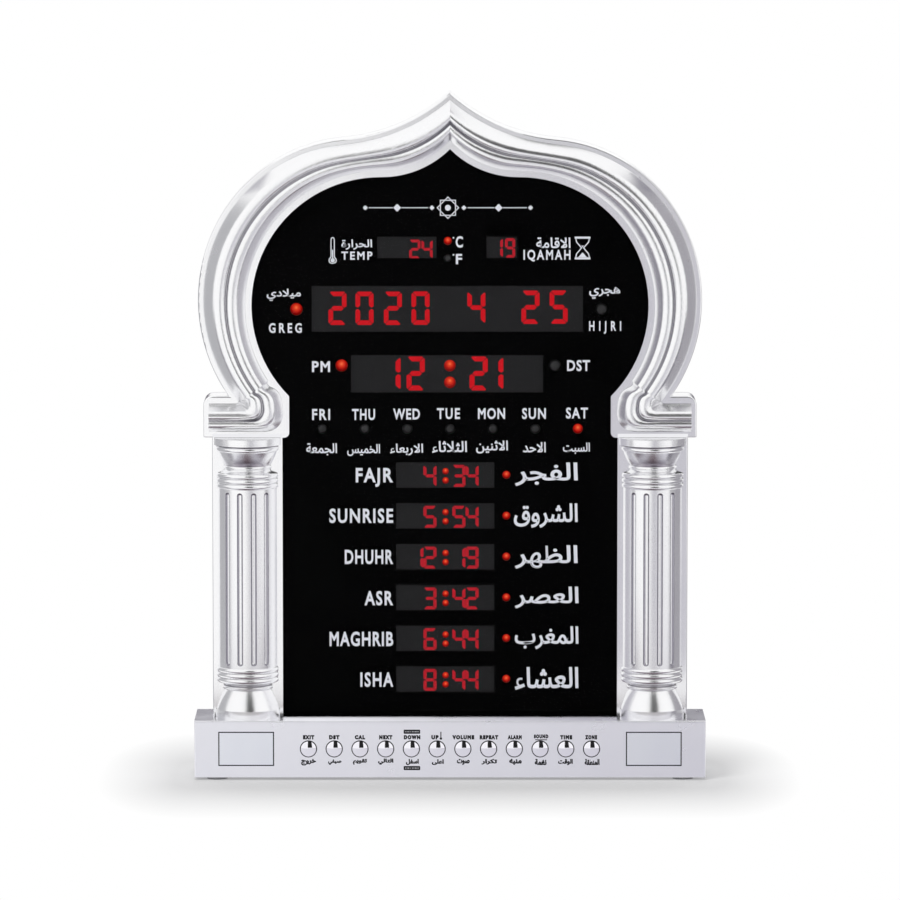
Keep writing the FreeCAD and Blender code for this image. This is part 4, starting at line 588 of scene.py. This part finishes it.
# ---- The displays ----
# Seven-segment modules: dark grey blocks behind the windows, with a red bar for each lit segment. The
# bars lie in the blocks' faces, a hair proud of them.

wear(finish("display_filter", (0.020, 0.020, 0.021), roughness=0.45, patch=6, grain=0.4,
            sockets=[("Specular IOR Level", 0.05)]),
     "date_display", "time_display", "temperature_display", "countdown_display", "prayer_displays")

SEGMENTS = {"0": "ABCDEF", "1": "BC", "2": "ABGED", "3": "ABGCD", "4": "FGBC", "5": "AFGCD", "6": "AFGCDE",
            "7": "ABC", "8": "ABCDEFG", "9": "ABCDFG"}
BAR_PROUD, BAR_THICK, BAR_SHORTER = 0.02, 0.12, 0.93
display_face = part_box("date_display")[0].y / MM


def add_digit(mesh, figure, left, low, wide, high, bar):
    """The lit bars of one figure, mitred where they meet, with cut outer corners."""
    cut, half, middle, right, top = bar * 0.45, bar / 2, low + high / 2, left + wide, low + high
    bars = {
        "A": [(left + cut / 2, top - cut / 2), (left + bar, top - bar), (right - bar, top - bar),
              (right - cut / 2, top - cut / 2), (right - cut, top), (left + cut, top)],
        "D": [(left + cut / 2, low + cut / 2), (left + cut, low), (right - cut, low),
              (right - cut / 2, low + cut / 2), (right - bar, low + bar), (left + bar, low + bar)],
        "G": [(left + half, middle), (left + bar, middle - half), (right - bar, middle - half),
              (right - half, middle), (right - bar, middle + half), (left + bar, middle + half)],
        "F": [(left, middle + half * 0.6), (left + half, middle + half * 0.1), (left + bar, middle + half),
              (left + bar, top - bar), (left + cut / 2, top - cut / 2), (left, top - cut)],
        "E": [(left, low + cut), (left + cut / 2, low + cut / 2), (left + bar, low + bar),
              (left + bar, middle - half), (left + half, middle - half * 0.1), (left, middle - half * 0.6)],
    }
    for name, twin in (("F", "B"), ("E", "C")):
        bars[twin] = [(left + right - x, z) for x, z in reversed(bars[name])]
    for name in SEGMENTS[figure]:
        outline = bars[name]
        centre = sum((Vector(place) for place in outline), Vector((0, 0))) / len(outline)
        along, up = (BAR_SHORTER, 1) if name in "ADG" else (1, BAR_SHORTER)
        places = [(centre.x + (x - centre.x) * along, centre.y + (z - centre.y) * up) for x, z in outline]
        add_plate(mesh, places, display_face - BAR_PROUD, BAR_THICK)


def glow(name, colour):
    """Red light from behind a diffusing face, a little uneven."""
    faint = [value * 0.1 for value in colour]
    return finish(name, faint, roughness=0.4, shade=0.2, patch=2, grain=0.5, depth=0.003,
                  sockets=[("Specular IOR Level", 0.1), ("Emission Color", (*colour, 1)),
                           ("Emission Strength", 1.0)])


segment_light = glow("segment_light", (0.56, 0.006, 0.012))
small_segment_light = glow("small_segment_light", (0.44, 0.012, 0.022))

# each figure with its left and low
DATE = [("2", -70.75, 264.6), ("0", -55.0, 264.6), ("2", -38.5, 264.6), ("0", -22.4, 264.7),
        ("4", 10.1, 265.0), ("2", 41.6, 265.2), ("5", 58.0, 265.3)]
TIME = [("1", -39.4, 226.3), ("2", -25.3, 226.3), ("2", 11.4, 226.3), ("1", 20.5, 226.3)]
WARMTH = [("2", -23.7, 303.2), ("4", -16.6, 303.2)]
COUNTDOWN = [("1", 24.9, 303.9), ("9", 32.0, 303.9)]
PRAYERS = []
PRAYER_TIMES = ("8:44", "6:44", "3:42", "12:19", "5:54", "4:34")
ROW_LOW, ROW_PITCH = 49.6, 24.03
for level, shown in enumerate(PRAYER_TIMES):
    hours, minutes = shown.split(":")
    for figure, left in (*zip(reversed(hours), (-15.5, -23.1)), *zip(minutes, (1.4, 9.1))):
        PRAYERS.append((figure, left, ROW_LOW + ROW_PITCH * level))
DISPLAYS = [
    # piece, its light, its figures, and one figure's width, height and bar
    ("date_digits", segment_light, DATE, 10.5, 19.5, 2.7),
    ("time_digits", segment_light, TIME, 10.6, 19.9, 2.9),
    ("temperature_digits", small_segment_light, WARMTH, 6.5, 11.2, 1.6),
    ("countdown_digits", small_segment_light, COUNTDOWN, 5.9, 11.3, 1.6),
    ("prayer_digits", small_segment_light, PRAYERS, 7.6, 12.9, 1.8),
]
for name, light, figures, *size in DISPLAYS:
    mesh = bmesh.new()
    for figure, left, low in figures:
        add_digit(mesh, figure, left, low, *size)
    add_piece(name, mesh, light)


# ---- The lamps ----
# Round light-emitting diodes with a domed lens, soldered to the display board. Each reaches the clear
# sheet through its hole in the mask. The lit ones glow red, with a painted highlight above their middle.

ROUND_STEPS = 40


def add_turned(mesh, across, up, profile, steps=ROUND_STEPS):
    """Turns (radius, Y) places about an axis that runs from front to back. Each vertex keeps its distance
    from a spot a little above the middle, where the lamps' painted highlight sits, as a share of the largest
    radius."""
    layer = mesh.verts.layers.float.get("spot") or mesh.verts.layers.float.new("spot")
    largest = max(radius for radius, _ in profile)
    rows = []
    for radius, deep in profile:
        places = [(across, up)] if radius == 0 else circle(across, up, radius, steps)
        row = [mesh.verts.new((x, deep, z)) for x, z in places]
        for vertex in row:
            reach = Vector((vertex.co.x - across, vertex.co.z - up - largest * 0.3))
            vertex[layer] = reach.length / largest
        rows.append(row)
    for row, after in zip(rows, rows[1:]):
        for step in range(steps):
            corners = [row[step % len(row)], row[(step + 1) % len(row)],
                       after[(step + 1) % len(after)], after[step % len(after)]]
            kept = list(dict.fromkeys(corners))
            if len(kept) > 2:
                mesh.faces.new(kept)


def lens(radius, front, back, steps=8):
    """The profile of a domed lens, 0.8 of its radius deep, on a round body."""
    turns = [math.radians(90 * step / steps) for step in range(steps + 1)]
    dome = [(radius * math.sin(turn), front + radius * 0.8 * (1 - math.cos(turn))) for turn in turns]
    return dome + [(radius, back), (0, back)]


def lamp_glow(name):
    """The lamp's red glow, with a painted orange highlight a little above the middle and painted shade to
    deep red at the rim.
    """
    material = bpy.data.materials.new(name)
    material.use_nodes = True
    tree = material.node_tree
    shader = tree.nodes["Principled BSDF"]
    shader.inputs["Base Color"].default_value = (0.05, 0.002, 0.001, 1)
    shader.inputs["Specular IOR Level"].default_value = 0.1
    gloss = noise(tree, tree.nodes.new("ShaderNodeTexCoord").outputs["Object"], 1.5)
    tree.links.new(between(tree, gloss, 0.1, 0.25), shader.inputs["Roughness"])
    spot = tree.nodes.new("ShaderNodeAttribute")
    spot.attribute_name = "spot"
    ramp = tree.nodes.new("ShaderNodeValToRGB")
    stops = ((0.0, (0.95, 0.24, 0.08)), (0.28, (0.78, 0.06, 0.018)), (0.65, (0.50, 0.010, 0.005)),
             (1.0, (0.18, 0.002, 0.002)))
    ramp.color_ramp.elements.remove(ramp.color_ramp.elements[1])
    ramp.color_ramp.elements[0].color = (*stops[0][1], 1)
    for place, colour in stops[1:]:
        ramp.color_ramp.elements.new(place).color = (*colour, 1)
    tree.links.new(spot.outputs["Fac"], ramp.inputs["Fac"])
    tree.links.new(ramp.outputs["Color"], shader.inputs["Emission Color"])
    shader.inputs["Emission Strength"].default_value = 1.0
    return material


lamp_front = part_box("lit_lamps")[0].y / MM
lamp_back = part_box("lit_lamps")[1].y / MM
BIG, MIDDLE, SMALL = 3.6, 2.9, 2.35
DAY_LEVEL, DAY_PITCH = 203.8, 24.85
LIT = [(-89.5, 273.7, BIG), (-63.2, 240.8, BIG), (-1.3, 313.6, SMALL), (74.55, DAY_LEVEL, MIDDLE)]
LIT += [(32.9, 56.6 + ROW_PITCH * level, SMALL) for level in range(len(PRAYER_TIMES))]
DARK = [(88.2, 273.7, BIG), (61.2, 240.8, BIG), (-1.3, 303.6, SMALL)]
DARK += [(DAY_PITCH * (number - 3), DAY_LEVEL, MIDDLE) for number in range(6)]
lit_lamp = lamp_glow("lit_lens")
dark_lamp = finish("dark_lens", (0.040, 0.040, 0.041), roughness=0.5, shade=0.05, patch=2, grain=0.6,
                   sockets=[("Specular IOR Level", 0.1)])
for name, places, look, node, slot in (("lit_lenses", LIT, lit_lamp, "lit_lamps", "lamp_lit"),
                                       ("dark_lenses", DARK, dark_lamp, "dark_lamps", "lamp_dark")):
    mesh = bmesh.new()
    for across, up, radius in places:
        add_turned(mesh, across, up, lens(radius, lamp_front, lamp_back))
    lenses = add_piece(name, mesh, look, smooth=True)
    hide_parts(node)

# the colons: shallow domes on the modules' faces, glowing like the lit lamps with a painted highlight
DOT_HIGH = 0.42
DOT_SHARES = (0, 0.3, 0.55, 0.75, 0.9, 1)
dots = [(-0.1, level, 3.4) for level in (231.0, 240.8)]
for level in range(len(PRAYER_TIMES)):
    dots += [(-2.6, ROW_LOW + 6.45 + ROW_PITCH * level + rise, 1.9) for rise in (-2.7, 2.7)]
mesh = bmesh.new()
for across, up, radius in dots:
    profile = [(radius * share, display_face - DOT_HIGH * (1 - share ** 2)) for share in DOT_SHARES]
    add_turned(mesh, across, up, profile + [(0, display_face)])
add_piece("colon_dots", mesh, lit_lamp, smooth=True)


# ---- The boards and what stands on them ----
# Glass-fibre boards with green lacquer behind the face: the displays and lamps on the first, the
# processor, clock chip and backup cell on the second, joined by pin headers and a flat cable.

wear(finish("header_plastic", (0.02, 0.02, 0.02), roughness=0.5), "pin_headers")
wear(finish("chip_resin", (0.03, 0.03, 0.032), roughness=0.6, grain=0.3, depth=0.01), "main_chips")
wear(finish("holder_plastic", (0.7, 0.69, 0.65), roughness=0.5), "cell_holder")
wear(finish("cell_steel", (0.70, 0.70, 0.68), metallic=1, roughness=0.3, stretch=(1, 1, 0.2)), "backup_cell")
wear(finish("ribbon_sleeve", (0.55, 0.55, 0.56), roughness=0.5, patch=1.3, shade=0.2,
            stretch=(1, 0.05, 0.05)), "ribbon_cable")


# ---- The back: cover, loudspeaker and socket ----
# A flat ABS cover with a fine spark texture closes the arch. It has slots to hang the clock on a wall
# and a grille of round holes over a small loudspeaker. The power socket sits in the plinth's cover.

wear(finish("cover_abs", (0.55, 0.55, 0.57), roughness=0.55, shade=0.03, grain=0.45, depth=0.03),
     "back_cover")
wear(finish("socket_plastic", (0.015, 0.015, 0.016), roughness=0.35), "power_socket")
wear(finish("basket_steel", (0.45, 0.45, 0.47), metallic=1, roughness=0.4), "speaker_basket")
wear(finish("cone_paper", (0.05, 0.045, 0.04), roughness=0.85, grain=0.4, depth=0.05), "speaker_cone")
wear(finish("magnet_ferrite", (0.06, 0.06, 0.065), roughness=0.6, grain=0.5, depth=0.03), "speaker_magnet")


# ---- The screws ----
# Small zinc-plated pan-head screws with a cross recess. The ones that show, on the two back covers, are
# modelled with their recess; the others are hidden inside.

screw_zinc = finish("screw_zinc", (0.72, 0.72, 0.70), metallic=1, roughness=0.32, swing=0.08, shade=0.06,
                    patch=1.5, grain=0.3, depth=0.003)
wear(screw_zinc, "board_screws", "column_screws", "base_screws", "key_board_screws")
HEAD_R, HEAD_HIGH, SHANK_R, TIP_LONG = 2.4, 1.4, 1.25, 0.8
CROSS_REACH, CROSS_HALF, CROSS_DEEP, CROSS_TAPER = 1.25, 0.26, 0.9, 0.6
COVER_SCREWS = [(0, 381.0)]
for side in (-1, 1):
    COVER_SCREWS += [(125.6 * side, 57.0), (125.6 * side, 169.0), (130.9 * side, 276.1), (40.0 * side, 365.3)]
LID_SCREWS = [(143.5 * side, level) for side in (-1, 1) for level in (7.0, 29.5)]


def add_screw(mesh, across, up, seat, tip):
    """A pan head behind Y = seat with a cross recess, on a shank that reaches to Y = tip."""
    rim = HEAD_R * 0.72
    add_turned(mesh, across, up, [(rim, seat + HEAD_HIGH), (HEAD_R * 0.93, seat + HEAD_HIGH * 0.8),
                                  (HEAD_R, seat + HEAD_HIGH * 0.45), (HEAD_R, seat), (SHANK_R, seat),
                                  (SHANK_R, tip + TIP_LONG), (0, tip)])
    long, half = CROSS_REACH, CROSS_HALF
    cross = [(half, half), (half, long), (-half, long), (-half, half), (-long, half), (-long, -half),
             (-half, -half), (-half, -long), (half, -long), (half, -half), (long, -half), (long, half)]
    top = [mesh.verts.new((across + x, seat + HEAD_HIGH, up + z)) for x, z in cross]
    floor = [mesh.verts.new((across + x * CROSS_TAPER, seat + HEAD_HIGH - CROSS_DEEP, up + z * CROSS_TAPER))
             for x, z in cross]
    edge = [mesh.verts.new((x, seat + HEAD_HIGH, z)) for x, z in circle(across, up, rim, ROUND_STEPS)]
    loops = []
    for ring in (top, edge):
        loops += [mesh.edges.new((ring[index - 1], ring[index])) for index in range(len(ring))]
    bmesh.ops.triangle_fill(mesh, use_beauty=True, edges=loops)
    for index in range(len(cross)):
        mesh.faces.new((top[index - 1], top[index], floor[index], floor[index - 1]))
    mesh.faces.new(floor)


for name, places, cover in (("cover_screws", COVER_SCREWS, "back_cover"),
                            ("lid_screws", LID_SCREWS, "plinth_cover")):
    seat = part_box(cover)[1].y / MM
    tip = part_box(name)[0].y / MM
    mesh = bmesh.new()
    for across, up in places:
        add_screw(mesh, across, up, seat, tip)
    bmesh.ops.remove_doubles(mesh, verts=mesh.verts, dist=0.001)
    piece = add_piece(f"{name}_recessed", mesh, screw_zinc)
    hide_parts(name)


# ---- The studio: floor, surround, cards and lamps ----
# A wide pale floor in a white surround, lit by three soft lamps and the sky. Cards that only the plated
# parts mirror stand round the clock: grey at both sides and behind, black high in front, white and
# lavender on the floor before it, brown close to the foot.


def lying(left, right, front, back, up, back_up=None):
    """The corners of a card that lies flat, or slopes up to back_up at its back."""
    far_up = up if back_up is None else back_up
    return [(left, front, up), (right, front, up), (right, back, far_up), (left, back, far_up)]


def standing(left, right, foot, top, deep):
    """The corners of a card that stands across the view at Y = deep."""
    return [(left, deep, foot), (right, deep, foot), (right, deep, top), (left, deep, top)]


def walling(across, front, back, foot, top):
    """The corners of a card that stands along the view at X = across."""
    return [(across, front, foot), (across, front, top), (across, back, top), (across, back, foot)]


FLOOR_REACH = 30
floor_mesh = bpy.data.meshes.new("floor")
floor_mesh.from_pydata(lying(-FLOOR_REACH, FLOOR_REACH, -FLOOR_REACH, FLOOR_REACH, 0), [], [(0, 1, 2, 3)])
floor = bpy.data.objects.new("floor", floor_mesh)
bpy.context.scene.collection.objects.link(floor)


def mixed(tree, share, first, second):
    """A look that runs from first to second with share."""
    mix = tree.nodes.new("ShaderNodeMixShader")
    for target, value in zip(mix.inputs, (share, first, second)):
        join(tree, target, value)
    return mix.outputs[0]


def lit(tree, colour, kind="ShaderNodeEmission"):
    """A look of one colour."""
    light = tree.nodes.new(kind)
    join(tree, light.inputs["Color"], colour)
    return light.outputs[0]


# the paper shows the clock's shadow near its foot, and turns plain white further away
WHITE = (1, 1, 1, 1)
FOOT_REACH = (0.149, 0.024, 0)
SIDE_QUICKER = (2.5, 1, 1)
FADE = (0.03, 0.14)
floor_look = bpy.data.materials.new("floor_paper")
floor_look.use_nodes = True
tree = floor_look.node_tree
tree.nodes.clear()
place = tree.nodes.new("ShaderNodeTexCoord").outputs["Object"]
away = stepped(tree, place, ("ABSOLUTE", None), ("SUBTRACT", FOOT_REACH), ("MAXIMUM", (0, 0, 0)),
               ("MULTIPLY", SIDE_QUICKER), ("LENGTH", None))
rays = tree.nodes.new("ShaderNodeLightPath").outputs
seen = worked_out(tree, "MAXIMUM", rays["Is Camera Ray"], rays["Is Glossy Ray"])
seen = worked_out(tree, "MAXIMUM", seen, rays["Is Transmission Ray"])
far = worked_out(tree, "MULTIPLY", between(tree, away, 0.25, 1, *FADE), seen)
paper = lit(tree, (0.60, 0.60, 0.60, 1), "ShaderNodeBsdfDiffuse")
output = tree.nodes.new("ShaderNodeOutputMaterial")
tree.links.new(mixed(tree, far, paper, lit(tree, WHITE)), output.inputs["Surface"])
floor_mesh.materials.append(floor_look)

# the surround looks white, and lights the clock a little less
world = bpy.data.worlds.new("surround")
bpy.context.scene.world = world
world.use_nodes = True
tree = world.node_tree
tree.nodes.clear()
rays = tree.nodes.new("ShaderNodeLightPath").outputs
sky = lit(tree, (0.56, 0.56, 0.575, 1), "ShaderNodeBackground")
plain = lit(tree, WHITE, "ShaderNodeBackground")
output = tree.nodes.new("ShaderNodeOutputWorld")
tree.links.new(mixed(tree, rays["Is Diffuse Ray"], plain, sky), output.inputs["Surface"])


def card(name, corners, tone, far_tone=None, span=(0, 1), centre=None, one_sided=False):
    """A card that only shiny surfaces mirror. Its tone may run to far_tone over a span in X, or over a
    span away from the lines X = centre and -centre. A one-sided card is clear from behind."""
    mesh = bpy.data.meshes.new(name)
    mesh.from_pydata(corners, [], [(0, 1, 2, 3)])
    sheet = bpy.data.objects.new(name, mesh)
    bpy.context.scene.collection.objects.link(sheet)
    material = bpy.data.materials.new(name)
    material.use_nodes = True
    tree = material.node_tree
    tree.nodes.clear()
    colour = (*tone, 1)
    if far_tone:
        place = tree.nodes.new("ShaderNodeSeparateXYZ")
        tree.links.new(tree.nodes.new("ShaderNodeTexCoord").outputs["Object"], place.inputs[0])
        across = place.outputs["X"]
        if centre:
            across = worked_out(tree, "SUBTRACT", worked_out(tree, "ABSOLUTE", across), centre)
            across = worked_out(tree, "ABSOLUTE", across)
        colour = blend(tree, between(tree, across, 0, 1, *span), tone, far_tone)
    look = lit(tree, colour)
    if one_sided:
        clear = tree.nodes.new("ShaderNodeBsdfTransparent").outputs[0]
        look = mixed(tree, tree.nodes.new("ShaderNodeNewGeometry").outputs["Backfacing"], look, clear)
    output = tree.nodes.new("ShaderNodeOutputMaterial")
    tree.links.new(look, output.inputs["Surface"])
    mesh.materials.append(material)
    for way in ("camera", "diffuse", "transmission", "volume_scatter", "shadow"):
        setattr(sheet, f"visible_{way}", False)


# at each side a floor card and a wall, in one tone beside and behind the clock and in a darker one a
# little in front of it
CARD_UP = 0.004
CARD_NEAR, CARD_WALL, CARD_BACK = 0.30, 1.2, 1.4
NEAR_FRONT, WALL_FRONT, LOW_WALL = -0.08, -0.44, 0.085
SIDES = [
    # name, side, wall's top, tone beside and behind the clock, tone in front of it
    ("left", -1, 1.1, (0.45, 0.45, 0.47), (0.28, 0.27, 0.30)),
    ("right", 1, 1.6, (0.36, 0.35, 0.38), (0.15, 0.14, 0.17)),
]
for name, side, tall, behind, before in SIDES:
    near, wall = CARD_NEAR * side, CARD_WALL * side
    slanting = [(near, NEAR_FRONT, CARD_UP), (wall, WALL_FRONT, CARD_UP), (wall, 0, CARD_UP),
                (near, 0, CARD_UP)]
    card(f"{name}_floor_card", lying(near, wall, 0, CARD_BACK, CARD_UP), behind)
    card(f"{name}_wall_card", walling(wall, 0, CARD_BACK, CARD_UP, tall), behind)
    card(f"{name}_near_floor_card", slanting, before)
    card(f"{name}_near_wall_card", walling(wall, WALL_FRONT, 0, CARD_UP, LOW_WALL), before)

# on the floor further in front, high in front, close before the foot, and low behind
WHITE_TONE, LAVENDER = (1, 1, 1), (0.57, 0.56, 0.61)
card("front_floor_card", lying(-3, 0.3, -8, -0.42, 0.002), WHITE_TONE, LAVENDER, (-0.16, 0.12))
card("front_side_card", lying(0.3, 1.4, -8, -0.42, 0.002), LAVENDER, WHITE_TONE, (0.4, 1.3))
card("dark_card", standing(-0.7, 2.7, 0.2, 7.5, -6), (0.02, 0.02, 0.02))
card("plinth_card", lying(-0.6, 0.6, -0.29, -0.024, 0.0012), (0.80, 0.80, 0.83), (0.64, 0.63, 0.68),
     (-0.15, 0.15))
card("low_card", lying(-0.26, 0.26, -0.27, -0.03, 0.0019, 0.0365), (0.10, 0.065, 0.08), (0.45, 0.44, 0.49),
     (0.02, 0.11), centre=0.118, one_sided=True)
card("back_card", standing(-0.5, 0.5, 0.03, 0.25, 0.6), (0.14, 0.13, 0.16))

# a narrow card on each ledge's foot, where the flat top of the capital would mirror the black card
for name, side in (("left", -1), ("right", 1)):
    corners = standing(0.0977 * side, 0.1386 * side, 0.1992, 0.2014, -0.0068)
    card(f"{name}_ledge_card", corners, (0.88, 0.88, 0.90))

# two cards over the black face, where the silver round it would mirror it
PANEL_CARDS = [
    # name, foot, top, tone, far tone
    ("low", 0.036, 0.2, (0.9, 0.9, 0.92), (0.5, 0.49, 0.54)),
    ("high", 0.2, 0.36, (0.45, 0.44, 0.48), (0.25, 0.24, 0.28)),
]
for name, foot, top, tone, far_tone in PANEL_CARDS:
    corners = standing(-0.126, 0.126, foot, top, -0.0045)
    card(f"{name}_panel_card", corners, tone, far_tone, (-0.08, 0.08), one_sided=True)


def soft_lamp(name, place, aim, size, power):
    """A large soft lamp that shiny surfaces don't mirror."""
    lamp = bpy.data.lights.new(name, "AREA")
    lamp.shape = "RECTANGLE"
    lamp.size, lamp.size_y = size
    lamp.energy = power
    holder = bpy.data.objects.new(name, lamp)
    holder.location = place
    holder.rotation_mode = "QUATERNION"
    holder.rotation_quaternion = (Vector(aim) - Vector(place)).to_track_quat("-Z", "Y")
    holder.visible_glossy = False
    bpy.context.scene.collection.objects.link(holder)


CLOCK_MIDDLE = (0, 0, 0.2)
soft_lamp("key_lamp", (-1.3, -1.7, 2.0), CLOCK_MIDDLE, (1.2, 1.2), 40)
soft_lamp("fill_lamp", (1.8, -1.6, 1.2), CLOCK_MIDDLE, (1.2, 1.2), 8)
soft_lamp("top_lamp", (0, 0.5, 2.4), (0, -0.1, 0), (0.7, 0.7), 16)


# ---- The camera ----
# Straight in front and a little above the clock, far away with a long lens, so that upright edges stay
# parallel.

CAMERA_AWAY, CAMERA_RAISED = 3.9, math.radians(6)
camera = bpy.data.objects.new("camera", bpy.data.cameras.new("camera"))
bpy.context.scene.collection.objects.link(camera)
bpy.context.scene.camera = camera
camera.data.sensor_width = 36
camera.data.lens = 267.7
camera.data.clip_end = 100
aim = Vector((0, -0.0065, 0.1919))
camera.location = aim + Vector((0, -math.cos(CAMERA_RAISED), math.sin(CAMERA_RAISED))) * CAMERA_AWAY
camera.rotation_mode = "QUATERNION"
camera.rotation_quaternion = (aim - camera.location).to_track_quat("-Z", "Y")

bpy.context.scene.view_settings.view_transform = "Standard"
